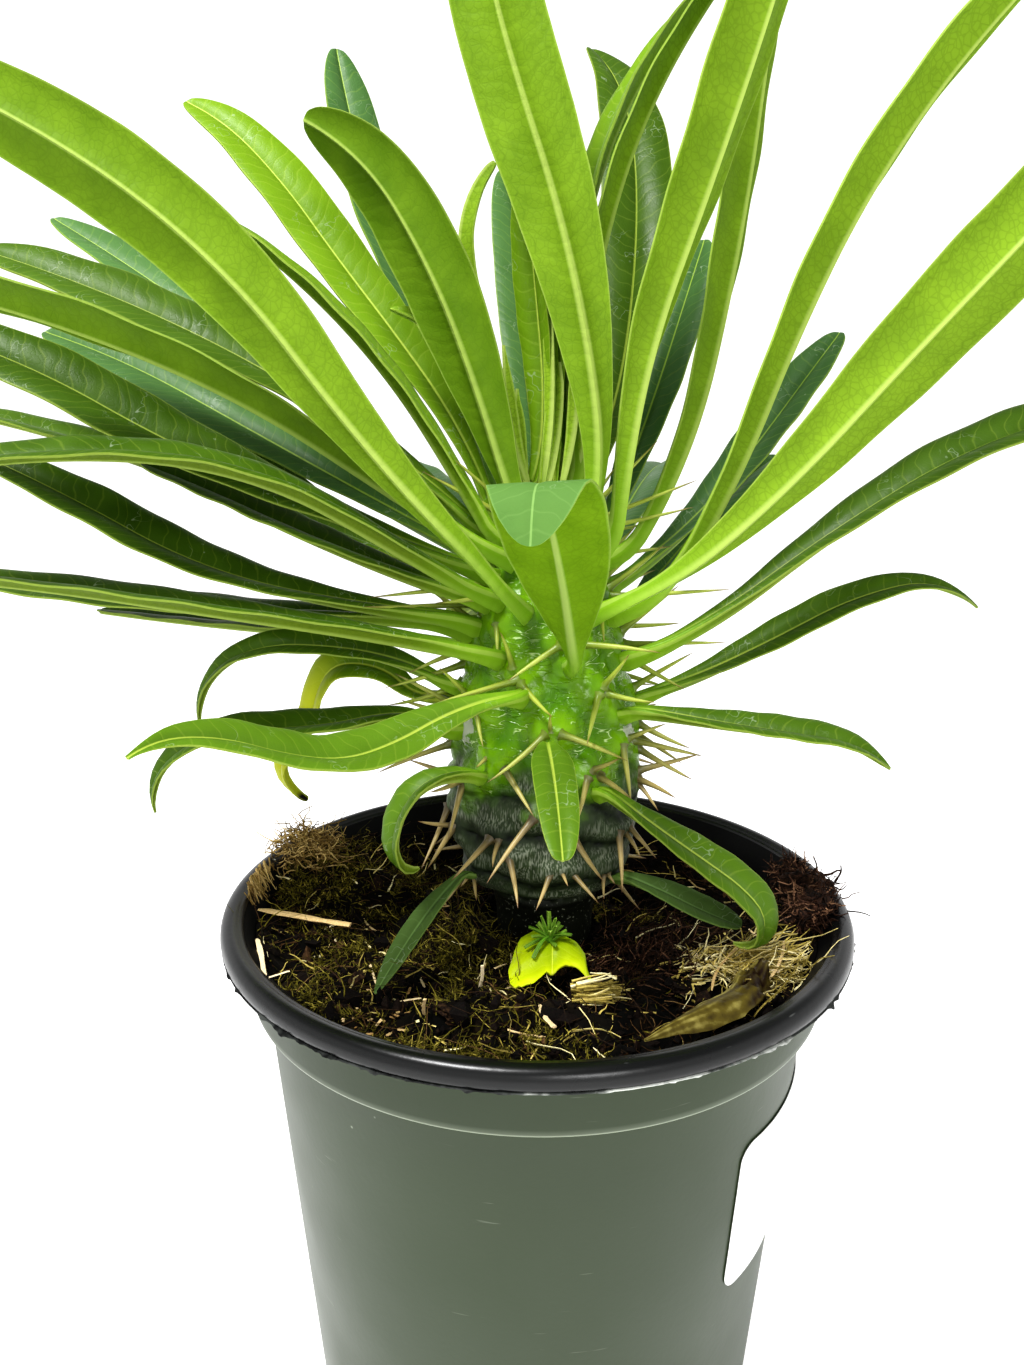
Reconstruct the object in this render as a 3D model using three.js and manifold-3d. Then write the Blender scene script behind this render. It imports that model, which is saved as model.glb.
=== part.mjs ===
// Young Madagascar palm (Pachypodium lamerei) growing in a round nursery pot.
//
// Units are millimetres, +Z is up, and the origin is the centre of the pot's flat underside.
// Azimuths run counter-clockwise from +X, seen from above; the front of the plant faces -Y.

import * as THREE from 'three';
import { mergeVertices } from 'three/addons/utils/BufferGeometryUtils.js';
import Module from 'manifold-3d';

const wasm = await Module();
wasm.setup();

// ---------------------------------------------------------------- driving dimensions

const CLEARANCE = 0.3; // air between two pieces that touch
const WELD = 1e-4; // vertices closer than this are one
const SEED = 41;

const POT = {
  height: 150,
  rimRadius: 80,
  rimDepth: 4.8,
  rimInner: 74.4,
  collarRadius: 73.2,
  collarDepth: 19.6,
  wallRadius: 69.7, // just below the collar
  footRadius: 59,
  wall: 1.3,
  floor: 2,
  lipThickness: 1.6, // of the rolled rim, at its inner edge
  crestInset: 1.7, // from the rim's outside to its highest circle
  sectors: 40,
  holes: 6,
  holeRadius: 4.5,
  holeCircle: 44,
};

const LABEL = {
  top: 111,
  bottom: 70,
  startAzimuth: -47,
  sweep: 48,
  cornerRadius: 4.5,
  thickness: 0.6,
  steps: 16,
};

const SOIL = {
  level: 138, // where the trunk enters it
  frontRise: 0.05, // the surface rises this much per millimetre toward the front
  lump: 1.6,
  deepest: 3, // how far a hollow goes below the level
  belowRim: 4.4, // the least drop from the pot's top at the wall
  wallGap: 0.35,
  settled: 16, // radius round the trunk where the surface is flat
  settling: 20, // width of the band where it rises to its own shape
  mounds: [ // x, y, spread and height of each
    [-60, 22, 13, 13], [-50, 48, 12, 7], [-62, -20, 12, 4],
    [48, -26, 12, 4], [66, 2, 9, 6], [10, 60, 18, 2],
  ],
  rings: [0, 0.12, 0.28, 0.44, 0.6, 0.76, 0.9, 1],
};

const TRUNK = {
  axis: new THREE.Vector2(2.5, 3),
  holeDepth: 18,
  sides: 28,
  rows: 23,
  // height above the pot's underside and radius there
  profile: [
    [120, 10], [130, 12.5], [139, 13.5], [144, 15.5], [150, 19.5], [160, 22], [179, 23.5],
    [200, 20.5], [213, 17.5], [226, 14], [236, 10], [243, 5.5],
  ],
};

const trunkTop = TRUNK.profile[TRUNK.profile.length - 1][0];

const TUBERCLE = {
  first: 152,
  last: 214,
  rise: 1.8, // height gained from one to the next
  turn: 137.5, // degrees round the trunk from one to the next
  phase: 20,
  height: 2.6,
  spread: 4.6,
  clearOfLeaf: 8,
  start: 142, // they grow to full height over `fadeIn` from here, and fade out at the top
  fadeIn: 10,
  fadeOut: 8,
};

const SPINE = {
  splay: 62, // degrees either side of straight out
  fullAt: 230, // height where pitch and length reach their high values
  lowPitch: -42,
  highPitch: 18,
  lowLength: 15,
  highLength: 21,
  thirdShare: 0.7, // length of the single upper spine
  thirdLift: 30, // degrees that it points above the pair
  wander: 24, // degrees of scatter in heading and in pitch
  radius: 1.15,
  root: 3, // length inside the trunk
  sink: 0.6,
  offset: 3.4, // of the pair, sideways
  pairUp: 1.2, // of the pair, above the leaf's foot
  thirdUp: 3.6,
  clearance: 1.5,
  aboveSoil: 2.5,
  heartRadius: 9, // kept free round the growing tip
  heartDrop: 3,
};

const BLADE = {
  stations: [0, 0.04, 0.1, 0.2, 0.32, 0.45, 0.58, 0.7, 0.81, 0.9, 0.97, 1],
  petioleShare: 0.1, // of the length, before the blade widens
  widestShare: 0.66,
  petioleHalf: 1.5,
  petioleMost: 0.3, // of the blade's half width
  swell: 0.8, // how quickly the blade widens
  rounding: 2.4, // how blunt its end is
  tipHalf: 0.5,
  edge: 0.7, // thickness at the margin
  ribAtBase: 2.4,
  ribAtTip: 0.9,
  ribMost: 1.7, // of the half width there
  waves: 7,
  waveShare: 0.035, // of the width
  foot: 2.2, // how deep the petiole sits in its socket
  straight: 4, // length of petiole that leaves the trunk straight
  swingShare: 0.07, // share of the length over which it turns to its own course
  footPitch: 22,
  channel: 1, // height that a socket leaves above the petiole
  mouth: 3, // length of socket outside the foot
  steps: 160, // along the course
};

// Each leaf: where it leaves the trunk, its size, and its course. Pitch, heading and roll are in
// degrees and hold at equal steps from the end of the straight foot to the tip.
const LEAVES = [
  // the crown's front and left
  { kind: 'young', az: 252, z: 226, length: 182, width: 19, fold: 12,
    pitch: [40, 46, 46, 40, 24], heading: [205, 180, 178], roll: [45, 80, 78] },
  { kind: 'young', az: 226, z: 237, length: 150, width: 20, fold: 14,
    pitch: [32, 33, 20, 8], heading: [186, 188, 204, 212], roll: [15, 15] },
  { kind: 'mature', az: 186, z: 240, length: 150, width: 20, fold: 14,
    pitch: [44, 33, 24, 16], heading: [176, 174], roll: [-20, -32] },
  { kind: 'mature', az: 206, z: 233, length: 150, width: 20, fold: 14,
    pitch: [20, 22, 30, 14], heading: [182, 179], roll: [-20, -38] },
  { kind: 'bluish', az: 160, z: 234, length: 150, width: 20, fold: 12,
    pitch: [24, 26, 26, 16], heading: [160, 163], roll: [-20, -28] },
  { kind: 'bluish', az: 138, z: 235, length: 172, width: 20, fold: 12,
    pitch: [36, 34, 32, 26], heading: [152, 160], roll: [-15, -20] },
  { kind: 'mature', az: 176, z: 228, length: 150, width: 17, fold: 16,
    pitch: [20, 20, 17, 10], heading: [172, 173], roll: [-6, -8] },
  { kind: 'mature', az: 226, z: 228, length: 130, width: 18, fold: 16,
    pitch: [30, 24, 4, -14], heading: [200, 198, 200], roll: [-5, -14] },
  { kind: 'mature', az: 200, z: 221, length: 136, width: 18, fold: 14,
    pitch: [4, 10, 28, 22], heading: [174, 171], roll: [-10, -20] },
  { kind: 'mature', az: 182, z: 218, length: 150, width: 18, fold: 14,
    pitch: [4, -1, 5, 5], heading: [170, 169], roll: [-5, -12] },
  { kind: 'mature', az: 235, z: 215, length: 128, width: 17, fold: 16,
    pitch: [14, 10, 10, 6], heading: [194, 188], roll: [0, 0] },
  { kind: 'mature', az: 165, z: 225, length: 132, width: 20, fold: 12,
    pitch: [20, 24, 31, 29], heading: [160, 160], roll: [-25, -38] },
  { kind: 'mature', az: 210, z: 227, length: 92, width: 17, fold: 14,
    pitch: [16, 20, 24, 20], heading: [176, 173], roll: [-5, -10] },
  { kind: 'mature', az: 166, z: 212, length: 112, width: 17, fold: 14,
    pitch: [4, 0, 2, 4], heading: [166, 166], roll: [0, 0] },
  // lower left, drooping and curling
  { kind: 'mature', az: 190, z: 205, length: 84, width: 11, fold: 18,
    pitch: [10, 16, 4, -36, -84], heading: [180, 178], roll: [-8, -12] },
  { kind: 'fading', az: 166, z: 197, length: 85, width: 13, fold: 16,
    pitch: [34, 32, 26, 4, -40, -84, -62, -70, -150], heading: [168, 168], roll: [0, 10] },
  { kind: 'mature', az: 206, z: 196, length: 90, width: 15, fold: 16,
    pitch: [0, -3, -4, -36, -84], heading: [189, 190], roll: [0, 0] },
  { kind: 'mature', az: 255, z: 207, length: 96, width: 15, fold: 16,
    pitch: [-6, -16, 4, 14, -8], heading: [222, 213, 220], roll: [-20, 30, -10] },
  { kind: 'mature', az: 232, z: 187, length: 48, width: 11, fold: 18,
    pitch: [10, -4, -64, -100, -150], heading: [206, 208], roll: [0, 0] },
  // the tall centre
  { kind: 'young', az: 288, z: 237, length: 172, width: 20, fold: 10,
    pitch: [80, 86, 78, 72, 68], heading: [230, 200, 190], roll: [40, 72, 78] },
  { kind: 'young', az: 262, z: 239, length: 114, width: 18, fold: 10,
    pitch: [66, 72, 68, 58, 26], heading: [180, 172, 174], roll: [60, 80, 60] },
  { kind: 'bluish', az: 102, z: 238, length: 128, width: 17, fold: 12,
    pitch: [50, 56, 58, 56], heading: [97, 102], roll: [0, 0] },
  { kind: 'bluish', az: 70, z: 238, length: 172, width: 20, fold: 12,
    pitch: [60, 64, 68, 58, 24], heading: [62, 66, 80, 130], roll: [0, 0] },
  { kind: 'young', az: 318, z: 237, length: 172, width: 20, fold: 14,
    pitch: [68, 75, 74, 74], heading: [338, 338], roll: [-10, -24] },
  { kind: 'bluish', az: 46, z: 234, length: 104, width: 16, fold: 12,
    pitch: [56, 58, 60, 58], heading: [50, 56], roll: [0, 0] },
  // right
  { kind: 'mature', az: 338, z: 213, length: 152, width: 18, fold: 16,
    pitch: [24, 38, 32, 16, 4], heading: [2, 6], roll: [8, 22] },
  { kind: 'mature', az: 2, z: 201, length: 94, width: 13, fold: 18,
    pitch: [16, 26, 29, 13, -34], heading: [4, 4], roll: [0, 0] },
  { kind: 'mature', az: 322, z: 201, length: 65, width: 12, fold: 16,
    pitch: [-2, -6, -4, -6, -40], heading: [344, 349], roll: [10, 12] },
  { kind: 'young', az: 332, z: 224, length: 180, width: 17, fold: 16,
    pitch: [50, 62, 68, 58, 38], heading: [352, 346, 350], roll: [-12, -22] },
  { kind: 'young', az: 352, z: 236, length: 160, width: 20, fold: 12,
    pitch: [56, 78, 84, 84], heading: [2, 10], roll: [-30, -42] },
  { kind: 'bluish', az: 18, z: 229, length: 100, width: 17, fold: 14,
    pitch: [30, 42, 52, 48], heading: [28, 35], roll: [5, 10] },
  { kind: 'young', az: 305, z: 225, length: 176, width: 21, fold: 10,
    pitch: [38, 44, 50, 50], heading: [350, 359, 359], roll: [-60, -82] },
  // the crown's back left
  { kind: 'young', az: 165, z: 242, length: 143, width: 17, fold: 12,
    pitch: [56, 55, 53, 32], heading: [160, 161], roll: [-30, -36] },
  { kind: 'young', az: 212, z: 240, length: 106, width: 16, fold: 14,
    pitch: [60, 56, 44, 32], heading: [176, 175], roll: [0, 0] },
  { kind: 'bluish', az: 128, z: 240, length: 155, width: 18, fold: 12,
    pitch: [56, 58, 62, 62], heading: [136, 140, 124], roll: [0, 0] },
  // pointing at the front
  { kind: 'young', az: 280, z: 213, length: 96, width: 21, fold: 10,
    pitch: [46, 48, 48, 42, 38, 20, -56, -80], heading: [264, 258, 260], roll: [0, 0] },
  { kind: 'mature', az: 270, z: 196, length: 48, width: 10, fold: 12,
    pitch: [2, -16, -38], heading: [274, 274], roll: [0, 0] },
  { kind: 'mature', az: 298, z: 184, length: 64, width: 12, fold: 14,
    pitch: [-10, -26, -34, -60, -130], heading: [346, 344], roll: [15, 25] },
  { kind: 'bluish', az: 316, z: 160, length: 35, width: 9, fold: 14,
    pitch: [-12, -22, -14], heading: [344, 345], roll: [15, 15] },
  { kind: 'bluish', az: 222, z: 160, length: 41, width: 8, fold: 14,
    pitch: [-20, -32, -36], heading: [228, 240], roll: [0, 0] },
  // the far side
  { kind: 'bluish', az: 90, z: 222, length: 158, width: 20, fold: 14,
    pitch: [24, 20, 12, -2], heading: [90, 93], roll: [0, 5] },
  { kind: 'bluish', az: 60, z: 224, length: 140, width: 19, fold: 14,
    pitch: [22, 18, 10, 0], heading: [74, 76], roll: [0, -5] },
  { kind: 'bluish', az: 120, z: 222, length: 140, width: 19, fold: 14,
    pitch: [24, 18, 12, 2], heading: [110, 112], roll: [0, 5] },
  { kind: 'bluish', az: 36, z: 217, length: 90, width: 15, fold: 14,
    pitch: [30, 36, 30, 16], heading: [44, 46], roll: [0, 0] },
  { kind: 'mature', az: 104, z: 206, length: 110, width: 15, fold: 16,
    pitch: [8, 4, -10, -40], heading: [104, 106], roll: [0, 0] },
  { kind: 'mature', az: 72, z: 200, length: 90, width: 14, fold: 16,
    pitch: [4, 0, -16, -52], heading: [78, 80], roll: [0, 0] },
];

// Young leaves of the growing tip, fused at their feet; same form as above.
const HEART = {
  coreRadius: 5.2,
  coreHeight: 16,
  coreSides: 10,
  leafCircle: 2.3, // radius of the circle that the leaves start on, inside the core
  leafLift: 4,
  footPitch: 60,
  fold: 24,
  stations: [0, 0.15, 0.35, 0.58, 0.8, 0.94, 1],
  leaves: [
    { az: 30, length: 128, width: 13, pitch: [86, 88, 74, 56], heading: [60, 20, 8], roll: [0, 0] },
    { az: 340, length: 126, width: 13, pitch: [86, 86, 70, 58], heading: [0, 6, 2], roll: [-8, -8] },
    { az: 150, length: 92, width: 11, pitch: [76, 74, 78, 110], heading: [126, 124], roll: [0, 0] },
    { az: 195, length: 54, width: 10, pitch: [68, 66, 50, -10], heading: [166, 170], roll: [-10, -10] },
    { az: 170, length: 66, width: 10, pitch: [74, 80, 84], heading: [172, 172], roll: [60, 60] },
    { az: 260, length: 60, width: 9, pitch: [82, 86, 88], heading: [250, 250], roll: [0, 0] },
    { az: 60, length: 84, width: 11, pitch: [82, 84, 80], heading: [70, 70], roll: [0, 0] },
    { az: 100, length: 70, width: 10, pitch: [80, 82, 84], heading: [110, 110], roll: [0, 0] },
    { az: 0, length: 58, width: 9, pitch: [76, 84, 88], heading: [350, 350], roll: [-70, -70] },
  ],
};

const SEEDLING = {
  x: 3.5,
  y: -23,
  lift: 1.2, // above the smooth soil
  stem: 8.6,
  leaflets: 6,
  length: 4.6,
  width: 2.2,
};

const FALLEN = {
  // the torn yellow leaf under the seedling, and the brown curled one against the rim
  yellow: { x: 9, y: -24.5, z: 146.3, length: 19, width: 17, fold: 6,
    pitch: [-16, -26], heading: [232, 228], roll: [0, 0] },
  brown: { x: 14, y: -61, z: 143.4, length: 42, width: 9, fold: 20,
    pitch: [6, 12, 14], heading: [16, 34], roll: [-20, -30] },
};

const CLUMP = {
  azimuth: 357,
  sweep: 26,
  radius: 71,
  scatter: 8,
  height: 149.5,
  lobe: 6.8, // radius of the middle lobe
  endLobe: 5.2,
  flatness: 0.75,
  lobes: 5,
};

// Slivers of wood lying in the soil: one end, the other end and the thickness.
const SLIVERS = [
  [[-66, -12, 145], [-46, -5, 142], 1.6],
  [[-62, -22, 143], [-58, -38, 142], 1.4],
  [[1, -44, 141], [4, -56, 143], 1.4],
  [[-14, -26, 139], [-12, -34, 144], 1.2],
  [[40, -12, 140], [56, -34, 144], 1.4],
  [[36, -22, 141], [58, -24, 143], 1.3],
];

// ---------------------------------------------------------------- colours and finishes

const FINISH = {
  pot: { color: '#3f4a40', roughness: 0.55 },
  label: { color: '#f6f6f4', roughness: 0.5 },
  soil: { color: '#3a2f1c', roughness: 1 },
  trunk: { color: '#5c6b34', roughness: 0.6 },
  heart: { color: '#9cc63c', roughness: 0.45 },
  seedling: { color: '#5f8f34', roughness: 0.5 },
  yellow: { color: '#c7cf3a', roughness: 0.5 },
  brown: { color: '#6d5233', roughness: 0.9 },
  clump: { color: '#4a2a1a', roughness: 1 },
  young: { color: '#79a83a', roughness: 0.45 },
  mature: { color: '#3f7230', roughness: 0.35 },
  bluish: { color: '#3d6b45', roughness: 0.35 },
  fading: { color: '#a7b032', roughness: 0.5 },
};

// ---------------------------------------------------------------- general helpers

const RAD = Math.PI / 180;

/** A repeatable stream of numbers from 0 to 1. */
function randomStream(seed) {
  let state = seed >>> 0;
  return () => {
    state = (Math.imul(state, 1664525) + 1013904223) >>> 0;
    return state / 4294967296;
  };
}

/** Linear interpolation through [input, output] pairs, held flat outside them. */
function along(pairs, x) {
  if (x <= pairs[0][0]) return pairs[0][1];
  for (let i = 1; i < pairs.length; i++) {
    const [x0, y0] = pairs[i - 1];
    const [x1, y1] = pairs[i];
    if (x <= x1) return y0 + ((y1 - y0) * (x - x0)) / (x1 - x0);
  }
  return pairs[pairs.length - 1][1];
}

/** The value at share t (0 to 1) of a list that holds at equal steps. */
function evenly(values, t) {
  return along(values.map((v, i) => [i / (values.length - 1), v]), t);
}

/** A direction from a heading and a pitch in degrees. */
function direction(heading, pitch) {
  const flat = Math.cos(pitch * RAD);
  return new THREE.Vector3(
    flat * Math.cos(heading * RAD), flat * Math.sin(heading * RAD), Math.sin(pitch * RAD));
}

/** Six times the signed volume, to tell which way the faces point. */
function signedVolume(position, index) {
  const [a, b, c] = [new THREE.Vector3(), new THREE.Vector3(), new THREE.Vector3()];
  let sum = 0;
  for (let i = 0; i < index.length; i += 3) {
    a.fromBufferAttribute(position, index[i]);
    b.fromBufferAttribute(position, index[i + 1]);
    c.fromBufferAttribute(position, index[i + 2]);
    sum += a.dot(b.cross(c));
  }
  return sum;
}

/** Welds a geometry, drops triangles without area and turns its faces outward. */
function closed(geometry) {
  const bare = geometry.clone();
  for (const name of Object.keys(bare.attributes)) {
    if (name !== 'position') bare.deleteAttribute(name);
  }
  const welded = mergeVertices(bare, WELD);
  const source = welded.index.array;
  const kept = [];
  for (let i = 0; i < source.length; i += 3) {
    const [a, b, c] = [source[i], source[i + 1], source[i + 2]];
    if (a !== b && b !== c && c !== a) kept.push(a, b, c);
  }
  if (signedVolume(welded.attributes.position, kept) < 0) kept.reverse();
  welded.setIndex(kept);
  return welded;
}

function toSolid(geometry) {
  const body = closed(geometry);
  return new wasm.Manifold(new wasm.Mesh({
    numProp: 3,
    vertProperties: Float32Array.from(body.attributes.position.array),
    triVerts: Uint32Array.from(body.index.array),
  }));
}

function fromSolid(solid) {
  const mesh = solid.getMesh();
  const geometry = new THREE.BufferGeometry();
  geometry.setAttribute('position', new THREE.BufferAttribute(mesh.vertProperties, 3));
  geometry.setIndex(Array.from(mesh.triVerts));
  return geometry;
}

/** The largest body of a solid, without the loose scraps. */
function largest(solid) {
  const bodies = solid.decompose();
  return bodies.reduce((best, body) => (body.volume() > best.volume() ? body : best));
}

/**
 * A closed skin over rings of equal count. Each column's quads are split from their lower left
 * corner, or from the lower right one where `mirrored` says so.
 */
function skin(rings, mirrored = [], caps = null) {
  const count = rings[0].length;
  const positions = rings.flat().flatMap((p) => [p.x, p.y, p.z]);
  const index = [];
  for (let i = 0; i + 1 < rings.length; i++) {
    for (let k = 0; k < count; k++) {
      const a = i * count + k;
      const b = i * count + ((k + 1) % count);
      const [c, d] = [b + count, a + count];
      if (mirrored[k]) index.push(a, b, d, b, c, d);
      else index.push(a, b, c, a, c, d);
    }
  }
  const fan = caps ?? Array.from({ length: count - 2 }, (_, k) => [0, k + 1, k + 2]);
  const last = (rings.length - 1) * count;
  for (const [a, b, c] of fan) {
    index.push(a, c, b);
    index.push(last + a, last + b, last + c);
  }
  const geometry = new THREE.BufferGeometry();
  geometry.setAttribute('position', new THREE.Float32BufferAttribute(positions, 3));
  geometry.setIndex(index);
  return closed(geometry);
}

/** A circle of points at one height. */
function circle(radius, z, sides, centre = new THREE.Vector2()) {
  return Array.from({ length: sides }, (_, k) => {
    const turn = (k / sides) * 2 * Math.PI;
    return new THREE.Vector3(
      centre.x + radius * Math.cos(turn), centre.y + radius * Math.sin(turn), z);
  });
}

/** A solid of revolution about Z from [radius, height] points. */
function turned(points, sides) {
  const lathe = new THREE.LatheGeometry(points.map(([r, z]) => new THREE.Vector2(r, z)), sides);
  return closed(lathe.rotateX(Math.PI / 2));
}

// ---------------------------------------------------------------- pot and label

const collarFoot = POT.height - POT.collarDepth;

/** Radius of the wall's outside below the collar. */
function wallRadius(z) {
  return along([[0, POT.footRadius], [collarFoot, POT.wallRadius]], z);
}

/** [radius, height] points of the pot's inside, from the floor to the rim. */
function potInside() {
  const { wall, floor, height, rimInner, collarRadius } = POT;
  return [
    [wallRadius(floor) - wall, floor],
    [wallRadius(collarFoot) - wall - 0.1, collarFoot - wall],
    [collarRadius - 0.9 - wall, collarFoot + 0.4],
    [collarRadius - wall, height - 4],
    [rimInner, height - POT.lipThickness],
  ];
}

function makePot() {
  const { height, rimRadius, rimDepth, rimInner, collarRadius, footRadius } = POT;
  const outside = [
    [0, 0],
    [footRadius - 1.2, 0],
    [footRadius, 1.2],
    [POT.wallRadius, collarFoot - 0.4],
    [collarRadius - 0.8, collarFoot],
    [collarRadius, height - rimDepth - 0.6],
    [rimRadius - 0.5, height - rimDepth],
    [rimRadius, height - 3.4],
    [rimRadius - 0.6, height - 0.9],
    [rimRadius - POT.crestInset, height],
    [rimInner + 1.4, height - 0.5],
  ];
  const profile = [...outside, ...potInside().reverse(), [0, POT.floor]];
  let pot = toSolid(turned(profile, POT.sectors));
  for (let k = 0; k < POT.holes; k++) {
    const turn = (k / POT.holes) * 2 * Math.PI;
    const drill = new THREE.CylinderGeometry(POT.holeRadius, POT.holeRadius, 3 * POT.floor, 12)
      .rotateX(Math.PI / 2)
      .translate(POT.holeCircle * Math.cos(turn), POT.holeCircle * Math.sin(turn), POT.floor / 2);
    pot = pot.subtract(toSolid(drill));
  }
  return fromSolid(pot);
}

/** The bare sticker: a rounded rectangle wrapped round the wall. */
function makeLabel() {
  const { top, bottom, startAzimuth, sweep, cornerRadius, thickness, steps } = LABEL;
  const reach = wallRadius((top + bottom) / 2);
  const cornerSweep = cornerRadius / reach / RAD;
  const rings = [];
  for (let i = 0; i <= steps; i++) {
    // closer steps where the corners are
    const t = 0.5 - 0.5 * Math.cos((i / steps) * Math.PI);
    const degrees = t * sweep;
    const fromEnd = Math.min(degrees, sweep - degrees) / cornerSweep;
    const cut = fromEnd < 1 ? cornerRadius * (1 - Math.sqrt(1 - (1 - fromEnd) ** 2)) : 0;
    const turn = (startAzimuth + degrees) * RAD;
    const ring = [];
    for (const [out, z] of [
      [CLEARANCE, bottom + cut], [CLEARANCE + thickness, bottom + cut],
      [CLEARANCE + thickness, top - cut], [CLEARANCE, top - cut],
    ]) {
      const r = wallRadius(z) + out;
      ring.push(new THREE.Vector3(r * Math.cos(turn), r * Math.sin(turn), z));
    }
    rings.push(ring);
  }
  return skin(rings);
}

// ---------------------------------------------------------------- soil

/** Height of the soil's surface, without its fine lumps. */
function soilHeight(x, y) {
  const fromTrunk = Math.hypot(x - TRUNK.axis.x, y - TRUNK.axis.y);
  const share = Math.min(1, Math.max(0, (fromTrunk - SOIL.settled) / SOIL.settling));
  let shape = -y * SOIL.frontRise;
  for (const [cx, cy, spread, height] of SOIL.mounds) {
    shape += height * Math.exp(-((x - cx) ** 2 + (y - cy) ** 2) / (2 * spread ** 2));
  }
  return SOIL.level + share * shape;
}

function makeSoil() {
  const random = randomStream(SEED);
  const inside = potInside();
  const inner = inside.map(([r, z]) => [z, r - SOIL.wallGap]);
  const holeRadius = along(TRUNK.profile, SOIL.level) + 2 * CLEARANCE;
  const holeFloor = SOIL.level - TRUNK.holeDepth - CLEARANCE;
  const surface = SOIL.rings.map((share) => {
    const rim = circle(along(inner, SOIL.level + 4), 0, POT.sectors);
    const hole = circle(holeRadius, 0, POT.sectors, TRUNK.axis);
    return rim.map((outer, k) => {
      const p = hole[k].clone().lerp(outer, share);
      const lump = share === 0 || share === 1 ? 0 : (random() - 0.5) * 2 * SOIL.lump;
      const height = soilHeight(p.x, p.y) + lump;
      p.z = share === 0 ? SOIL.level : Math.max(height, SOIL.level - SOIL.deepest);
      if (share < 1) return p;
      const z = Math.min(p.z, POT.height - SOIL.belowRim);
      const scale = along(inner, z) / Math.hypot(p.x, p.y);
      return p.set(p.x * scale, p.y * scale, z);
    });
  });
  const side = [collarFoot + 0.4, collarFoot - POT.wall, POT.floor + CLEARANCE]
    .map((z) => circle(along(inner, z), z, POT.sectors));
  const rings = [
    circle(holeRadius, holeFloor, POT.sectors, TRUNK.axis), ...surface, ...side,
  ];
  const sticks = SLIVERS.map(([from, to, size]) => toSolid(stick(from, to, size)));
  return fromSolid(largest(wasm.Manifold.union([toSolid(skin(rings)), ...sticks])));
}

/** A square stick between two points. */
function stick(from, to, size) {
  const a = new THREE.Vector3(...from);
  const b = new THREE.Vector3(...to);
  const box = new THREE.BoxGeometry(size, size, a.distanceTo(b));
  const turn = new THREE.Quaternion().setFromUnitVectors(
    new THREE.Vector3(0, 0, 1), b.clone().sub(a).normalize());
  return box.applyQuaternion(turn).translate((a.x + b.x) / 2, (a.y + b.y) / 2, (a.z + b.z) / 2);
}

// ---------------------------------------------------------------- leaf blades

/** Half the leaf's width at share s of its length. */
function halfWidth(leaf, s) {
  const { petioleShare, widestShare, tipHalf, swell, rounding } = BLADE;
  const full = leaf.width / 2;
  const petiole = Math.min(BLADE.petioleHalf, BLADE.petioleMost * full);
  if (s <= petioleShare) return petiole;
  if (s <= widestShare) {
    const t = (s - petioleShare) / (widestShare - petioleShare);
    return petiole + (full - petiole) * Math.sin((t * Math.PI) / 2) ** swell;
  }
  const t = (s - widestShare) / (1 - widestShare);
  return tipHalf + (full - tipHalf) * Math.sqrt(Math.max(0, 1 - t ** rounding));
}

/** Points and frames along a leaf's midrib: {point, ahead, side, up} at each share in `shares`. */
function midrib(leaf, start, shares) {
  const { steps, swingShare, footPitch } = BLADE;
  const straight = Math.min(BLADE.straight / leaf.length, 0.1);
  const first = leaf.heading[0];
  const point = start.clone();
  const frames = [];
  let next = 0;
  for (let i = 0; i <= steps; i++) {
    const s = i / steps;
    const t = Math.max(0, (s - straight) / (1 - straight));
    const blend = Math.min(1, t / swingShare);
    const swing = ((leaf.az - first + 540) % 360) - 180;
    const heading = evenly(leaf.heading, t) + swing * (1 - blend);
    const pitch = evenly(leaf.pitch, t) * blend + (leaf.footPitch ?? footPitch) * (1 - blend);
    const roll = evenly(leaf.roll, t) * blend * RAD;
    const ahead = direction(heading, pitch);
    const across = direction(heading + 90, 0);
    const above = ahead.clone().cross(across);
    const side = across.clone().multiplyScalar(Math.cos(roll)).addScaledVector(above, Math.sin(roll));
    const up = above.clone().multiplyScalar(Math.cos(roll)).addScaledVector(across, -Math.sin(roll));
    while (next < shares.length && s >= shares[next] - 1e-9) {
      frames.push({ point: point.clone(), ahead, side, up });
      next++;
    }
    point.addScaledVector(ahead, leaf.length / steps);
  }
  return frames;
}

/** The blade: two flat halves folded up along a ribbed midline, with waved edges. */
function blade(leaf, start, stations = BLADE.stations) {
  const { edge, ribAtBase, ribAtTip, waves, waveShare } = BLADE;
  const rings = midrib(leaf, start, stations).map(({ point, side, up }, i) => {
    const s = stations[i];
    const half = halfWidth(leaf, s);
    const fold = leaf.fold * RAD;
    const rib = Math.min(ribAtBase + (ribAtTip - ribAtBase) * s, BLADE.ribMost * half);
    const spread = half / (leaf.width / 2);
    const at = (reach, height) =>
      point.clone().addScaledVector(side, reach).addScaledVector(up, height);
    const margin = (sign) => {
      const wave = leaf.width * waveShare * spread * Math.sin(2 * Math.PI * waves * s + sign);
      return half * Math.sin(fold) + wave;
    };
    const [left, right] = [margin(1), margin(-1)];
    const reach = half * Math.cos(fold);
    return [
      at(reach, left), at(0, 0), at(-reach, right),
      at(-reach, right - edge), at(0, -rib), at(reach, left - edge),
    ];
  });
  return skin(rings, [false, true, false, false, true, false],
    [[0, 1, 4], [0, 4, 5], [1, 2, 3], [1, 3, 4]]);
}

// ---------------------------------------------------------------- trunk

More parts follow.
